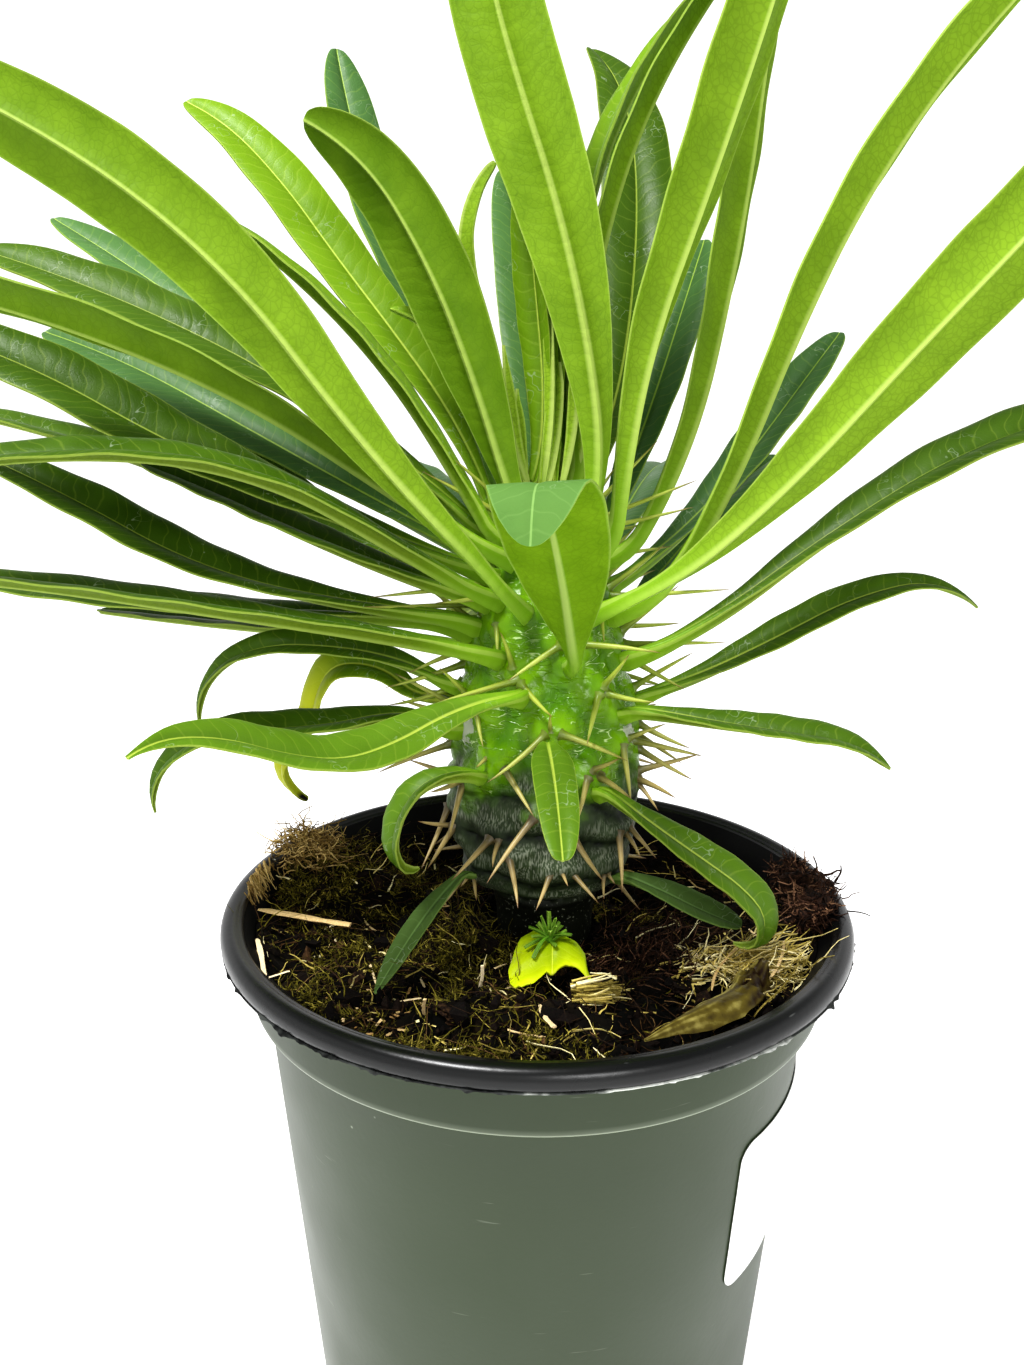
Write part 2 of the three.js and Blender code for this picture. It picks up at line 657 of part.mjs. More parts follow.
/** Tubercles on their spiral, kept clear of the leaves' own. */
function spiralTubercles() {
  const found = [];
  const steps = Math.floor((TUBERCLE.last - TUBERCLE.first) / TUBERCLE.rise);
  for (let k = 0; k <= steps; k++) {
    const z = TUBERCLE.first + k * TUBERCLE.rise;
    const az = (TUBERCLE.phase + k * TUBERCLE.turn) % 360;
    const near = LEAVES.some((leaf) => surfaceDistance(leaf, { az, z }) < TUBERCLE.clearOfLeaf);
    if (!near) found.push({ az, z });
  }
  return found;
}

/** Distance between two places on the trunk, measured round it. */
function surfaceDistance(a, b) {
  const swing = Math.abs(((a.az - b.az + 540) % 360) - 180);
  const radius = along(TRUNK.profile, (a.z + b.z) / 2);
  return Math.hypot(swing * RAD * radius, a.z - b.z);
}

const tubercles = [...LEAVES, ...spiralTubercles()];

/** The trunk's radius with its tubercles. */
function trunkRadius(az, z) {
  let swell = 0;
  for (const tubercle of tubercles) {
    const away = surfaceDistance(tubercle, { az, z });
    swell = Math.max(swell, Math.exp(-((away / TUBERCLE.spread) ** 2)));
  }
  const fade = Math.min(1, Math.max(0, (z - TUBERCLE.start) / TUBERCLE.fadeIn),
    Math.max(0, (trunkTop - z) / TUBERCLE.fadeOut));
  return along(TRUNK.profile, z) + TUBERCLE.height * swell * fade;
}

/** A point on the trunk's surface, or `out` millimetres off it. */
function onTrunk({ az, z }, out = 0) {
  const radius = trunkRadius(az, z) + out;
  return new THREE.Vector3(
    TRUNK.axis.x + radius * Math.cos(az * RAD), TRUNK.axis.y + radius * Math.sin(az * RAD), z);
}

/** Where a leaf's foot starts, inside its socket. */
function footOf(leaf) {
  return onTrunk(leaf).addScaledVector(direction(leaf.az, BLADE.footPitch), -BLADE.foot);
}

/** The socket that a leaf's foot stands in. */
function socket(leaf) {
  const half = halfWidth(leaf, 0);
  const rib = Math.min(BLADE.ribAtBase, BLADE.ribMost * half);
  const depth = BLADE.foot + CLEARANCE + BLADE.mouth;
  const height = rib + BLADE.channel + 2 * CLEARANCE;
  const box = new THREE.BoxGeometry(depth, 2 * (half + CLEARANCE), height);
  const { ahead, side, up } = midrib(leaf, footOf(leaf), [0])[0];
  const centre = footOf(leaf)
    .addScaledVector(ahead, depth / 2 - CLEARANCE)
    .addScaledVector(up, (BLADE.channel - rib) / 2);
  box.applyMatrix4(new THREE.Matrix4().makeBasis(ahead, side, up)).translate(...centre);
  return toSolid(box);
}

/** One spine: a three-sided needle from just under the skin. */
function needle(root, ahead, length) {
  const tip = root.clone().addScaledVector(ahead, length);
  const turn = new THREE.Quaternion().setFromUnitVectors(new THREE.Vector3(0, 1, 0), ahead);
  const cone = new THREE.ConeGeometry(SPINE.radius, length + SPINE.root, 3, 1);
  const middle = root.clone().addScaledVector(ahead, (length - SPINE.root) / 2);
  return { root, tip, body: cone.applyQuaternion(turn).translate(...middle) };
}

/** The foot of the seedling's stem. */
function seedlingFoot() {
  const { x, y } = SEEDLING;
  return new THREE.Vector3(x, y, soilHeight(x, y) + SEEDLING.lift);
}

/** Whether a needle keeps clear of every leaf, of the seedling and of the soil. */
function keepsClear({ root, tip }, courses) {
  for (let i = 1; i <= 6; i++) {
    const p = root.clone().lerp(tip, i / 6);
    if (p.z < soilHeight(p.x, p.y) + SPINE.aboveSoil) return false;
    const fromAxis = Math.hypot(p.x - TRUNK.axis.x, p.y - TRUNK.axis.y);
    if (p.z > trunkTop - SPINE.heartDrop && fromAxis < SPINE.heartRadius) return false;
    if (p.distanceTo(seedlingFoot()) < SEEDLING.stem + SEEDLING.length) return false;
    for (const { leaf, frames } of courses) {
      for (let j = 0; j < frames.length; j++) {
        const reach = halfWidth(leaf, j / (frames.length - 1)) + SPINE.clearance;
        if (frames[j].point.distanceTo(p) < reach) return false;
      }
    }
  }
  return true;
}

/** Three spines to each tubercle: a splayed pair and a shorter one, left out where a leaf is. */
function spines() {
  const random = randomStream(SEED + 1);
  const shares = Array.from({ length: 41 }, (_, i) => i / 40);
  const courses = LEAVES.map((leaf) => ({ leaf, frames: midrib(leaf, footOf(leaf), shares) }));
  const bodies = [];
  for (const tubercle of tubercles) {
    const { first } = TUBERCLE;
    const rise = Math.min(1, Math.max(0, (tubercle.z - first) / (SPINE.fullAt - first)));
    const pitch = SPINE.lowPitch + (SPINE.highPitch - SPINE.lowPitch) * rise;
    const length = SPINE.lowLength + (SPINE.highLength - SPINE.lowLength) * rise;
    for (const turn of [-1, 1, 0]) {
      const jitter = (random() - 0.5) * SPINE.wander;
      const lean = (random() - 0.5) * SPINE.wander + (turn === 0 ? SPINE.thirdLift : 0);
      const radius = trunkRadius(tubercle.az, tubercle.z);
      const place = {
        az: tubercle.az + (turn * SPINE.offset) / radius / RAD,
        z: tubercle.z + (turn === 0 ? SPINE.thirdUp : SPINE.pairUp),
      };
      const ahead = direction(tubercle.az + turn * SPINE.splay + jitter, pitch + lean);
      const reach = length * (turn === 0 ? SPINE.thirdShare : 1) * (0.85 + 0.3 * random());
      const spine = needle(onTrunk(place, -SPINE.sink), ahead, reach);
      if (keepsClear(spine, courses)) bodies.push(toSolid(spine.body));
    }
  }
  return bodies;
}

function makeTrunk() {
  const { sides, rows, profile, axis } = TRUNK;
  const foot = profile[0][0];
  const rings = [];
  for (let i = 0; i <= rows; i++) {
    const z = foot + ((trunkTop - foot) * i) / rows;
    rings.push(circle(1, z, sides).map((p, k) => {
      const az = (k / sides) * 360;
      const radius = trunkRadius(az, z);
      return new THREE.Vector3(axis.x + radius * p.x, axis.y + radius * p.y, z);
    }));
  }
  let trunk = wasm.Manifold.union([toSolid(skin(rings)), ...spines()]);
  trunk = trunk.subtract(wasm.Manifold.union(LEAVES.map(socket)));
  return fromSolid(largest(trunk));
}

/** The growing tip: a small cone with its young leaves. */
function makeHeart() {
  const top = trunkTop + CLEARANCE;
  const { coreRadius, coreHeight, coreSides, stations, footPitch, fold, leaves } = HEART;
  const core = skin([
    circle(coreRadius, top, coreSides, TRUNK.axis),
    circle(coreRadius * 0.9, top + coreHeight * 0.5, coreSides, TRUNK.axis),
    circle(coreRadius * 0.3, top + coreHeight, coreSides, TRUNK.axis),
  ]);
  const bodies = leaves.map((leaf) => {
    const out = direction(leaf.az, 0).multiplyScalar(HEART.leafCircle);
    const start = new THREE.Vector3(TRUNK.axis.x, TRUNK.axis.y, top + HEART.leafLift).add(out);
    return toSolid(blade({ ...leaf, footPitch, fold }, start, stations));
  });
  return fromSolid(largest(wasm.Manifold.union([toSolid(core), ...bodies])));
}

// ---------------------------------------------------------------- small things on the soil

function makeSeedling() {
  const { stem, leaflets, length, width } = SEEDLING;
  const base = seedlingFoot();
  const bodies = [toSolid(new THREE.CylinderGeometry(0.8, 1, stem, 6)
    .rotateX(Math.PI / 2).translate(base.x, base.y, base.z + stem / 2))];
  for (let k = 0; k < leaflets; k++) {
    const turn = (k / leaflets) * 360 + 20;
    const form = {
      az: turn, length, width, fold: 10, footPitch: 30,
      pitch: [30, 4], heading: [turn, turn], roll: [0, 0],
    };
    const start = new THREE.Vector3(base.x, base.y, base.z + stem - 0.8);
    bodies.push(toSolid(blade(form, start, [0, 0.4, 0.75, 1])));
  }
  return fromSolid(largest(wasm.Manifold.union(bodies)));
}

/** A leaf lying loose. */
function makeFallen(leaf) {
  const start = new THREE.Vector3(leaf.x, leaf.y, leaf.z);
  const form = { ...leaf, az: leaf.heading[0], footPitch: leaf.pitch[0] };
  return blade(form, start, [0, 0.12, 0.28, 0.45, 0.65, 0.82, 0.94, 1]);
}

/** A clump of fibrous roots hanging over the rim, cut to sit on the rim and the soil. */
function makeClump(pot, soil) {
  const random = randomStream(SEED + 2);
  const { azimuth, sweep, radius, scatter, height, lobe, endLobe, flatness, lobes } = CLUMP;
  const bodies = [];
  for (let k = 0; k < lobes; k++) {
    const share = k / (lobes - 1) - 0.5;
    const turn = (azimuth + share * sweep) * RAD;
    const reach = radius + (random() - 0.5) * scatter;
    const size = (lobe + (endLobe - lobe) * 2 * Math.abs(share)) * (0.85 + 0.3 * random());
    const ball = new THREE.IcosahedronGeometry(size, 1);
    const p = ball.attributes.position;
    const seen = new Map();
    for (let i = 0; i < p.count; i++) {
      const key = [p.getX(i), p.getY(i), p.getZ(i)].map((v) => v.toFixed(3)).join();
      if (!seen.has(key)) seen.set(key, 0.8 + 0.4 * random());
      const swell = seen.get(key);
      p.setXYZ(i, p.getX(i) * swell, p.getY(i) * swell, p.getZ(i) * swell * flatness);
    }
    ball.translate(reach * Math.cos(turn), reach * Math.sin(turn), height + random() * 1.5);
    bodies.push(toSolid(ball));
  }
  let clump = wasm.Manifold.union(bodies);
  for (const [dx, dz] of [[0, CLEARANCE], [CLEARANCE, 0], [-CLEARANCE, 0]]) {
    clump = clump.subtract(toSolid(pot.clone().translate(dx, 0, dz)));
  }
  clump = clump.subtract(toSolid(soil.clone().translate(0, 0, CLEARANCE)));
  return fromSolid(largest(clump));
}

// ---------------------------------------------------------------- assembly

function piece(name, geometry, finish) {
  const material = new THREE.MeshStandardMaterial({ ...FINISH[finish], metalness: 0 });
  const mesh = new THREE.Mesh(geometry, material);
  mesh.name = name;
  return mesh;
}

function assemble() {
  const plant = new THREE.Group();
  const pot = makePot();
  const soil = makeSoil();
  plant.add(piece('pot', pot, 'pot'));
  plant.add(piece('label', makeLabel(), 'label'));
  plant.add(piece('soil', soil, 'soil'));
  plant.add(piece('trunk', makeTrunk(), 'trunk'));
  plant.add(piece('heart', makeHeart(), 'heart'));
  LEAVES.forEach((leaf, i) => {
    const name = `leaf_${String(i + 1).padStart(2, '0')}`;
    plant.add(piece(name, blade(leaf, footOf(leaf)), leaf.kind));
  });
  plant.add(piece('seedling', makeSeedling(), 'seedling'));
  plant.add(piece('yellow_leaf', makeFallen(FALLEN.yellow), 'yellow'));
  plant.add(piece('brown_leaf', makeFallen(FALLEN.brown), 'brown'));
  plant.add(piece('root_clump', makeClump(pot, soil), 'clump'));
  return plant;
}

export default assemble();
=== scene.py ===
"""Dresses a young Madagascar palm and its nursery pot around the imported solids."""

import itertools
import logging
import math
from collections.abc import Callable, Sequence
from dataclasses import dataclass, field, replace
from enum import Enum
from functools import partial
from typing import ClassVar

import bmesh
import bpy
import numpy as np
from mathutils import Matrix, Vector


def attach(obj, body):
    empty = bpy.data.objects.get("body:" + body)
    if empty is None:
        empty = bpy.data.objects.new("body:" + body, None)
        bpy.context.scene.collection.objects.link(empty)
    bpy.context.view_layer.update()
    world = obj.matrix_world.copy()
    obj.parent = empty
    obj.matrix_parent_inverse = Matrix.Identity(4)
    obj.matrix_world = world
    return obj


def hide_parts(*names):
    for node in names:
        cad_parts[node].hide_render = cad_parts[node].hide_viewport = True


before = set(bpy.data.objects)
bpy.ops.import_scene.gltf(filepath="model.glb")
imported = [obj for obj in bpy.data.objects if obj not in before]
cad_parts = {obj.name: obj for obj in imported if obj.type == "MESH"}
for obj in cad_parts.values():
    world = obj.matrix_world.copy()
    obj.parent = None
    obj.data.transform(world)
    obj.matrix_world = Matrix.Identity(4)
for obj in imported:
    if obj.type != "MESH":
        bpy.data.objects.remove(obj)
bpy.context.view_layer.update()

BODY = "root"
MM = 0.001

Array = np.ndarray
Numbers = Array | float
Pair = tuple[float, float]
Triple = tuple[float, float, float]
Material = bpy.types.Material
Random = np.random.Generator

log = logging.getLogger("madagascar_palm")


# ---- general helpers


def linear(code: str) -> tuple[float, float, float, float]:
    """Turns an sRGB colour such as "#4c5944" into the linear one that shaders take."""
    shares = [int(code[i : i + 2], 16) / 255 for i in (1, 3, 5)]
    return (*(c / 12.92 if c <= 0.04045 else ((c + 0.055) / 1.055) ** 2.4 for c in shares), 1.0)


def direction(heading: Numbers, pitch: Numbers) -> Array:
    """Unit vectors from headings and pitches.

    Args:
        heading: degrees about the vertical, from x to y.
        pitch: degrees above the level.

    Returns:
        The vectors, with x, y and z along the last axis.
    """
    heading, pitch = np.broadcast_arrays(np.radians(heading), np.radians(pitch))
    flat = np.cos(pitch)
    return np.stack([flat * np.cos(heading), flat * np.sin(heading), np.sin(pitch)], -1)


def unit(vectors: Array) -> Array:
    """The vectors at length 1."""
    return vectors / np.maximum(np.linalg.norm(vectors, axis=-1, keepdims=True), 1e-9)


def along(pairs: Sequence[Pair], x: Numbers) -> Array:
    """Linear interpolation through (input, output) pairs, held flat outside them."""
    table = np.array(pairs, float)
    return np.interp(x, table[:, 0], table[:, 1])


def held(numbers: Numbers) -> Numbers:
    """The numbers, held between 0 and 1."""
    return np.clip(numbers, 0, 1)


def evenly(values: Sequence[float], share: Array) -> Array:
    """The value at each share (0 to 1) of a list that holds at equal steps."""
    return np.interp(share, np.linspace(0, 1, len(values)), values)


class NumberStream:
    """A repeatable stream of numbers from 0 to 1, the one that the solids' spines follow."""

    def __init__(self, seed: int) -> None:
        """Starts the stream at a seed."""
        self.state = seed

    def next(self) -> float:
        """The next number."""
        self.state = (self.state * 1664525 + 1013904223) % 2**32
        return self.state / 2**32


class Unevenness:
    """Smooth repeatable noise from a random lattice, for shapes."""

    CELLS = 32
    SHIFT = 7.3

    def __init__(self, seed: int) -> None:
        """Draws the lattice from a seed."""
        self.values = np.random.default_rng(seed).uniform(-1, 1, (self.CELLS,) * 3)

    def at(self, points: Array, size: float, octaves: int = 1) -> Array:
        """The noise at some points.

        Args:
            points: in millimetres, with x, y and z along the last axis.
            size: the largest feature's size in millimetres.
            octaves: how many layers, each half as large and half as strong as the last.

        Returns:
            A number for each point, mostly between -1 and 1.
        """
        flat = points.reshape(-1, 3)
        total = np.zeros(len(flat))
        for octave in range(octaves):
            scaled = flat * (2**octave / size) + self.SHIFT * octave
            low = np.floor(scaled).astype(int)
            part = scaled - low
            part = part * part * (3 - 2 * part)
            for corner in itertools.product((0, 1), repeat=3):
                place = (low + corner) % self.CELLS
                weight = np.where(corner, part, 1 - part).prod(1)
                total += weight * self.values[tuple(place.T)] / 2**octave
        return total.reshape(points.shape[:-1])


UNEVEN = Unevenness(5)


def stand(name: str, data: bpy.types.ID) -> bpy.types.Object:
    """Puts something in the scene.

    Args:
        name: the object's name.
        data: a mesh, a lamp or a camera.

    Returns:
        The new object.
    """
    made = bpy.data.objects.new(name, data)
    bpy.context.scene.collection.objects.link(made)
    return made


class Shape:
    """Points, faces and per-point facts that become one mesh."""

    def __init__(self) -> None:
        """Starts an empty shape."""
        self.points: list[Array] = []
        self.faces: list[list[int]] = []
        self.finishes: list[int] = []
        self.facts: dict[str, list[Array]] = {}
        self.count = 0

    def add(self, points: Array, *blocks: Array, finish: int | Array = 0, **facts: Numbers) -> None:
        """Adds a closed body, turned so that its faces point out.

        Args:
            points: in millimetres, with x, y and z along the last axis.
            blocks: arrays of faces, each with one count of corners.
            finish: which of the piece's finishes, one for all faces or one for each.
            facts: what the materials read, one number for all points or one for each.
        """
        points = points.reshape(-1, 3)
        blocks = [block.reshape(-1, block.shape[-1]) for block in blocks]
        volume = 0.0
        for block in blocks:
            corners = points[block]
            for k in range(1, block.shape[1] - 1):
                volume += np.einsum(
                    "ij,ij->", corners[:, 0], np.cross(corners[:, k], corners[:, k + 1])
                )
        for block in blocks:
            turned = block if volume > 0 else block[:, ::-1]
            self.faces += (turned + self.count).tolist()
        faces = sum(len(block) for block in blocks)
        self.finishes += np.broadcast_to(finish, faces).tolist()
        for name, value in facts.items():
            self.facts.setdefault(name, []).append(np.broadcast_to(np.ravel(value), len(points)))
        self.points.append(points)
        self.count += len(points)

    def mesh(self, name: str, finishes: Sequence[Material], sharp: float = 50) -> bpy.types.Mesh:
        """The body as a mesh in metres.

        Args:
            name: the mesh's name.
            finishes: its materials.
            sharp: edges that turn more than this many degrees stay sharp.

        Returns:
            The mesh.
        """
        mesh = bpy.data.meshes.new(name)
        mesh.from_pydata((np.concatenate(self.points) * MM).tolist(), [], self.faces)
        for finish in finishes:
            mesh.materials.append(finish)
        mesh.polygons.foreach_set("material_index", self.finishes)
        for fact, blocks in self.facts.items():
            attribute = mesh.attributes.new(fact, "FLOAT", "POINT")
            attribute.data.foreach_set("value", np.concatenate(blocks).astype(np.float32))
        mesh.shade_smooth()
        mesh.set_sharp_from_angle(angle=math.radians(sharp))
        return mesh

    def piece(
        self, name: str, finishes: Sequence[Material], nodes: Sequence[str] = (),
        sharp: float = 50,
    ) -> bpy.types.Object:
        """Makes the mesh and rides it on the plant's body.

        Args:
            name: the piece's name.
            finishes: its materials, in the order that the faces count them.
            nodes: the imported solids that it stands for.
            sharp: edges that turn more than this many degrees stay sharp.

        Returns:
            The new object.
        """
        mesh = self.mesh(name, finishes, sharp)
        made = stand(name, mesh)
        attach(made, BODY)
        if nodes:
            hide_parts(*nodes)
        log.info("%s: %d points, %d faces", name, len(mesh.vertices), len(mesh.polygons))
        return made


def rings(rows: int, columns: int) -> tuple[Array, Array]:
    """Faces of a closed sleeve over rings of points.

    Args:
        rows: how many rings.
        columns: points in each ring.

    Returns:
        The quads round the sleeve, and the two end faces.
    """
    first = np.arange(rows - 1)[:, None] * columns
    here = np.arange(columns)
    after = (here + 1) % columns
    quads = np.stack(
        [first + here, first + after, first + columns + after, first + columns + here], -1
    ).reshape(-1, 4)
    ends = np.stack([here[::-1], here + (rows - 1) * columns])
    return quads, ends


def turned(profile: Array, sides: int, centre: Sequence[float] = (0, 0)) -> Array:
    """Rings of points about the vertical.

    Args:
        profile: (radius, height) pairs.
        sides: points in each ring.
        centre: x and y of the rings' middle.

    Returns:
        Rows by sides by 3.
    """
    turn = np.linspace(0, 2 * np.pi, sides, endpoint=False)
    radius, height = np.array(profile, float).T
    return np.stack(
        [
            centre[0] + radius[:, None] * np.cos(turn),
            centre[1] + radius[:, None] * np.sin(turn),
            np.repeat(height[:, None], sides, 1),
        ],
        -1,
    )


def ball(times: int) -> tuple[Array, Array]:
    """A round body of radius 1.

    Args:
        times: how often its faces are divided.

    Returns:
        Its points and its triangles.
    """
    work = bmesh.new()
    bmesh.ops.create_icosphere(work, subdivisions=times, radius=1)
    points = np.array([v.co for v in work.verts])
    faces = np.array([[v.index for v in f.verts] for f in work.faces])
    work.free()
    return points, faces


def strands(
    shape: Shape, roots: Array, ways: Array, lengths: Array, radii: Array, bends: Array,
    steps: int = 4, sides: int = 3, blunt: float = 0.35, curl: float = 0, **facts: Array,
) -> None:
    """Adds many bent tapering threads.

    Args:
        shape: what they are added to.
        roots: N by 3, their starts in millimetres.
        ways: N by 3, the way each sets out.
        lengths: N lengths.
        radii: N radii at the root.
        bends: N by 3, how far each tip is carried aside, as a share of the length.
        steps: rings along each thread, less one.
        sides: corners of its section.
        blunt: the tip's radius as a share of the root's.
        curl: how far they wind about their own course, as a share of the length.
        facts: one number for each thread.
    """
    t = np.linspace(0, 1, steps + 1)[None, :, None]
    phase = 2.4 * np.arange(len(roots))[:, None, None]
    aside = unit(np.cross(ways, [0.31, 0.52, 0.79]))[:, None]
    other = np.cross(ways[:, None], aside)
    course = ways[:, None] * t + bends[:, None] * t**2
    wound = aside * np.sin(6.5 * t + phase) + other * np.cos(5.1 * t + 2 * phase)
    course = course + curl * t * wound
    middle = roots[:, None] + lengths[:, None, None] * course
    ahead = unit(np.gradient(middle, axis=1))
    across = unit(np.cross(ahead, [0.31, 0.52, 0.79]))
    above = np.cross(ahead, across)
    turn = np.linspace(0, 2 * np.pi, sides, endpoint=False)
    radius = radii[:, None, None] * (1 - (1 - blunt) * t)
    ring = (
        middle[:, :, None]
        + (across[:, :, None] * np.cos(turn)[:, None] + above[:, :, None] * np.sin(turn)[:, None])
        * radius[:, :, None]
    )
    each = (steps + 1) * sides
    quads, ends = rings(steps + 1, sides)
    shift = (np.arange(len(roots)) * each)[:, None, None]
    shape.add(
        ring, quads + shift, ends + shift,
        **{name: np.repeat(value, each) for name, value in facts.items()},
    )


def plate(grid: Array, thickness: Numbers) -> tuple[Array, Array]:
    """A thin closed body under a grid of points.

    Args:
        grid: rows by columns by 3, its upper side.
        thickness: how far its lower side lies below, along the grid's normals.

    Returns:
        Its points, and its quads: first the upper ones, then the lower ones, then the rim.
    """
    rows, columns = grid.shape[:2]
    normal = unit(np.cross(np.gradient(grid, axis=1), np.gradient(grid, axis=0)))
    under = grid + normal * np.broadcast_to(thickness, (rows, columns))[..., None]
    place = np.arange(rows * columns).reshape(rows, columns)
    upper = np.stack([place[:-1, :-1], place[:-1, 1:], place[1:, 1:], place[1:, :-1]], -1)
    rim = np.concatenate([place[0, :-1], place[:-1, -1], place[-1, :0:-1], place[:0:-1, 0]])
    after = np.roll(rim, -1)
    size = rows * columns
    quads = [
        upper.reshape(-1, 4), upper.reshape(-1, 4)[:, ::-1] + size,
        np.stack([after, rim, rim + size, after + size], -1),
    ]
    return np.concatenate([grid.reshape(-1, 3), under.reshape(-1, 3)]), np.concatenate(quads)


def add_node(
    tree: bpy.types.NodeTree, kind: str, *values: object, output: int | str = 0, **named: object
) -> bpy.types.NodeSocket | None:
    """Adds a node with its settings and links.

    Args:
        tree: a material's or the world's nodes.
        kind: the node's type, or a sum's operation in capitals. Mix is a mix of two colours.
        values: its first inputs: numbers, hex colours or other nodes' outputs.
        output: which of its outputs is wanted.
        named: its own settings, and with a capital first, its inputs by name.

    Returns:
        That output, or nothing where the node has none.
    """
    places: Sequence[int] = range(len(values))
    settings = {name: value for name, value in named.items() if name.islower()}
    if kind.isupper():
        settings["operation"], kind = kind, "Math"
    elif kind == "Mix":
        # the sockets for colours come after those for numbers and vectors
        settings["data_type"], places, output = "RGBA", (0, 6, 7), 2
    node = tree.nodes.new(f"ShaderNode{kind}")
    for name, value in settings.items():
        setattr(node, name, value)
    by_name = [(name.replace("_", " "), named[name]) for name in named if name not in settings]
    for place, value in [*zip(places, values), *by_name]:
        if isinstance(value, bpy.types.NodeSocket):
            tree.links.new(value, node.inputs[place])
        else:
            node.inputs[place].default_value = linear(value) if isinstance(value, str) else value
    return node.outputs[output] if len(node.outputs) else None


def new_material(name: str) -> tuple[Material, Callable]:
    """An empty node material.

    Args:
        name: what the real one is.

    Returns:
        The material, and what adds nodes to it.
    """
    made = bpy.data.materials.new(name)
    made.use_nodes = True
    made.node_tree.nodes.clear()
    return made, partial(add_node, made.node_tree)


# ---- finishes


def skin_of(
    add: Callable, colour: object, roughness: object, relief: object, strength: float,
    depth: float, **named: object,
) -> None:
    """Ends a material: an opaque skin with a fine relief.

    Args:
        add: adds nodes to the material.
        colour: the skin's colour.
        roughness: how dull it is.
        relief: the relief's height.
        strength: how strongly the relief shows.
        depth: how deep it is, in millimetres.
        named: further inputs of the skin.
    """
    bump = add("Bump", Strength=strength, Distance=depth * MM, Height=relief)
    skin = add("BsdfPrincipled", Base_Color=colour, Roughness=roughness, Normal=bump, **named)
    add("OutputMaterial", Surface=skin)


class Side(Enum):
    """The two faces of a leaf."""

    TOP = "top"
    UNDER = "underside"


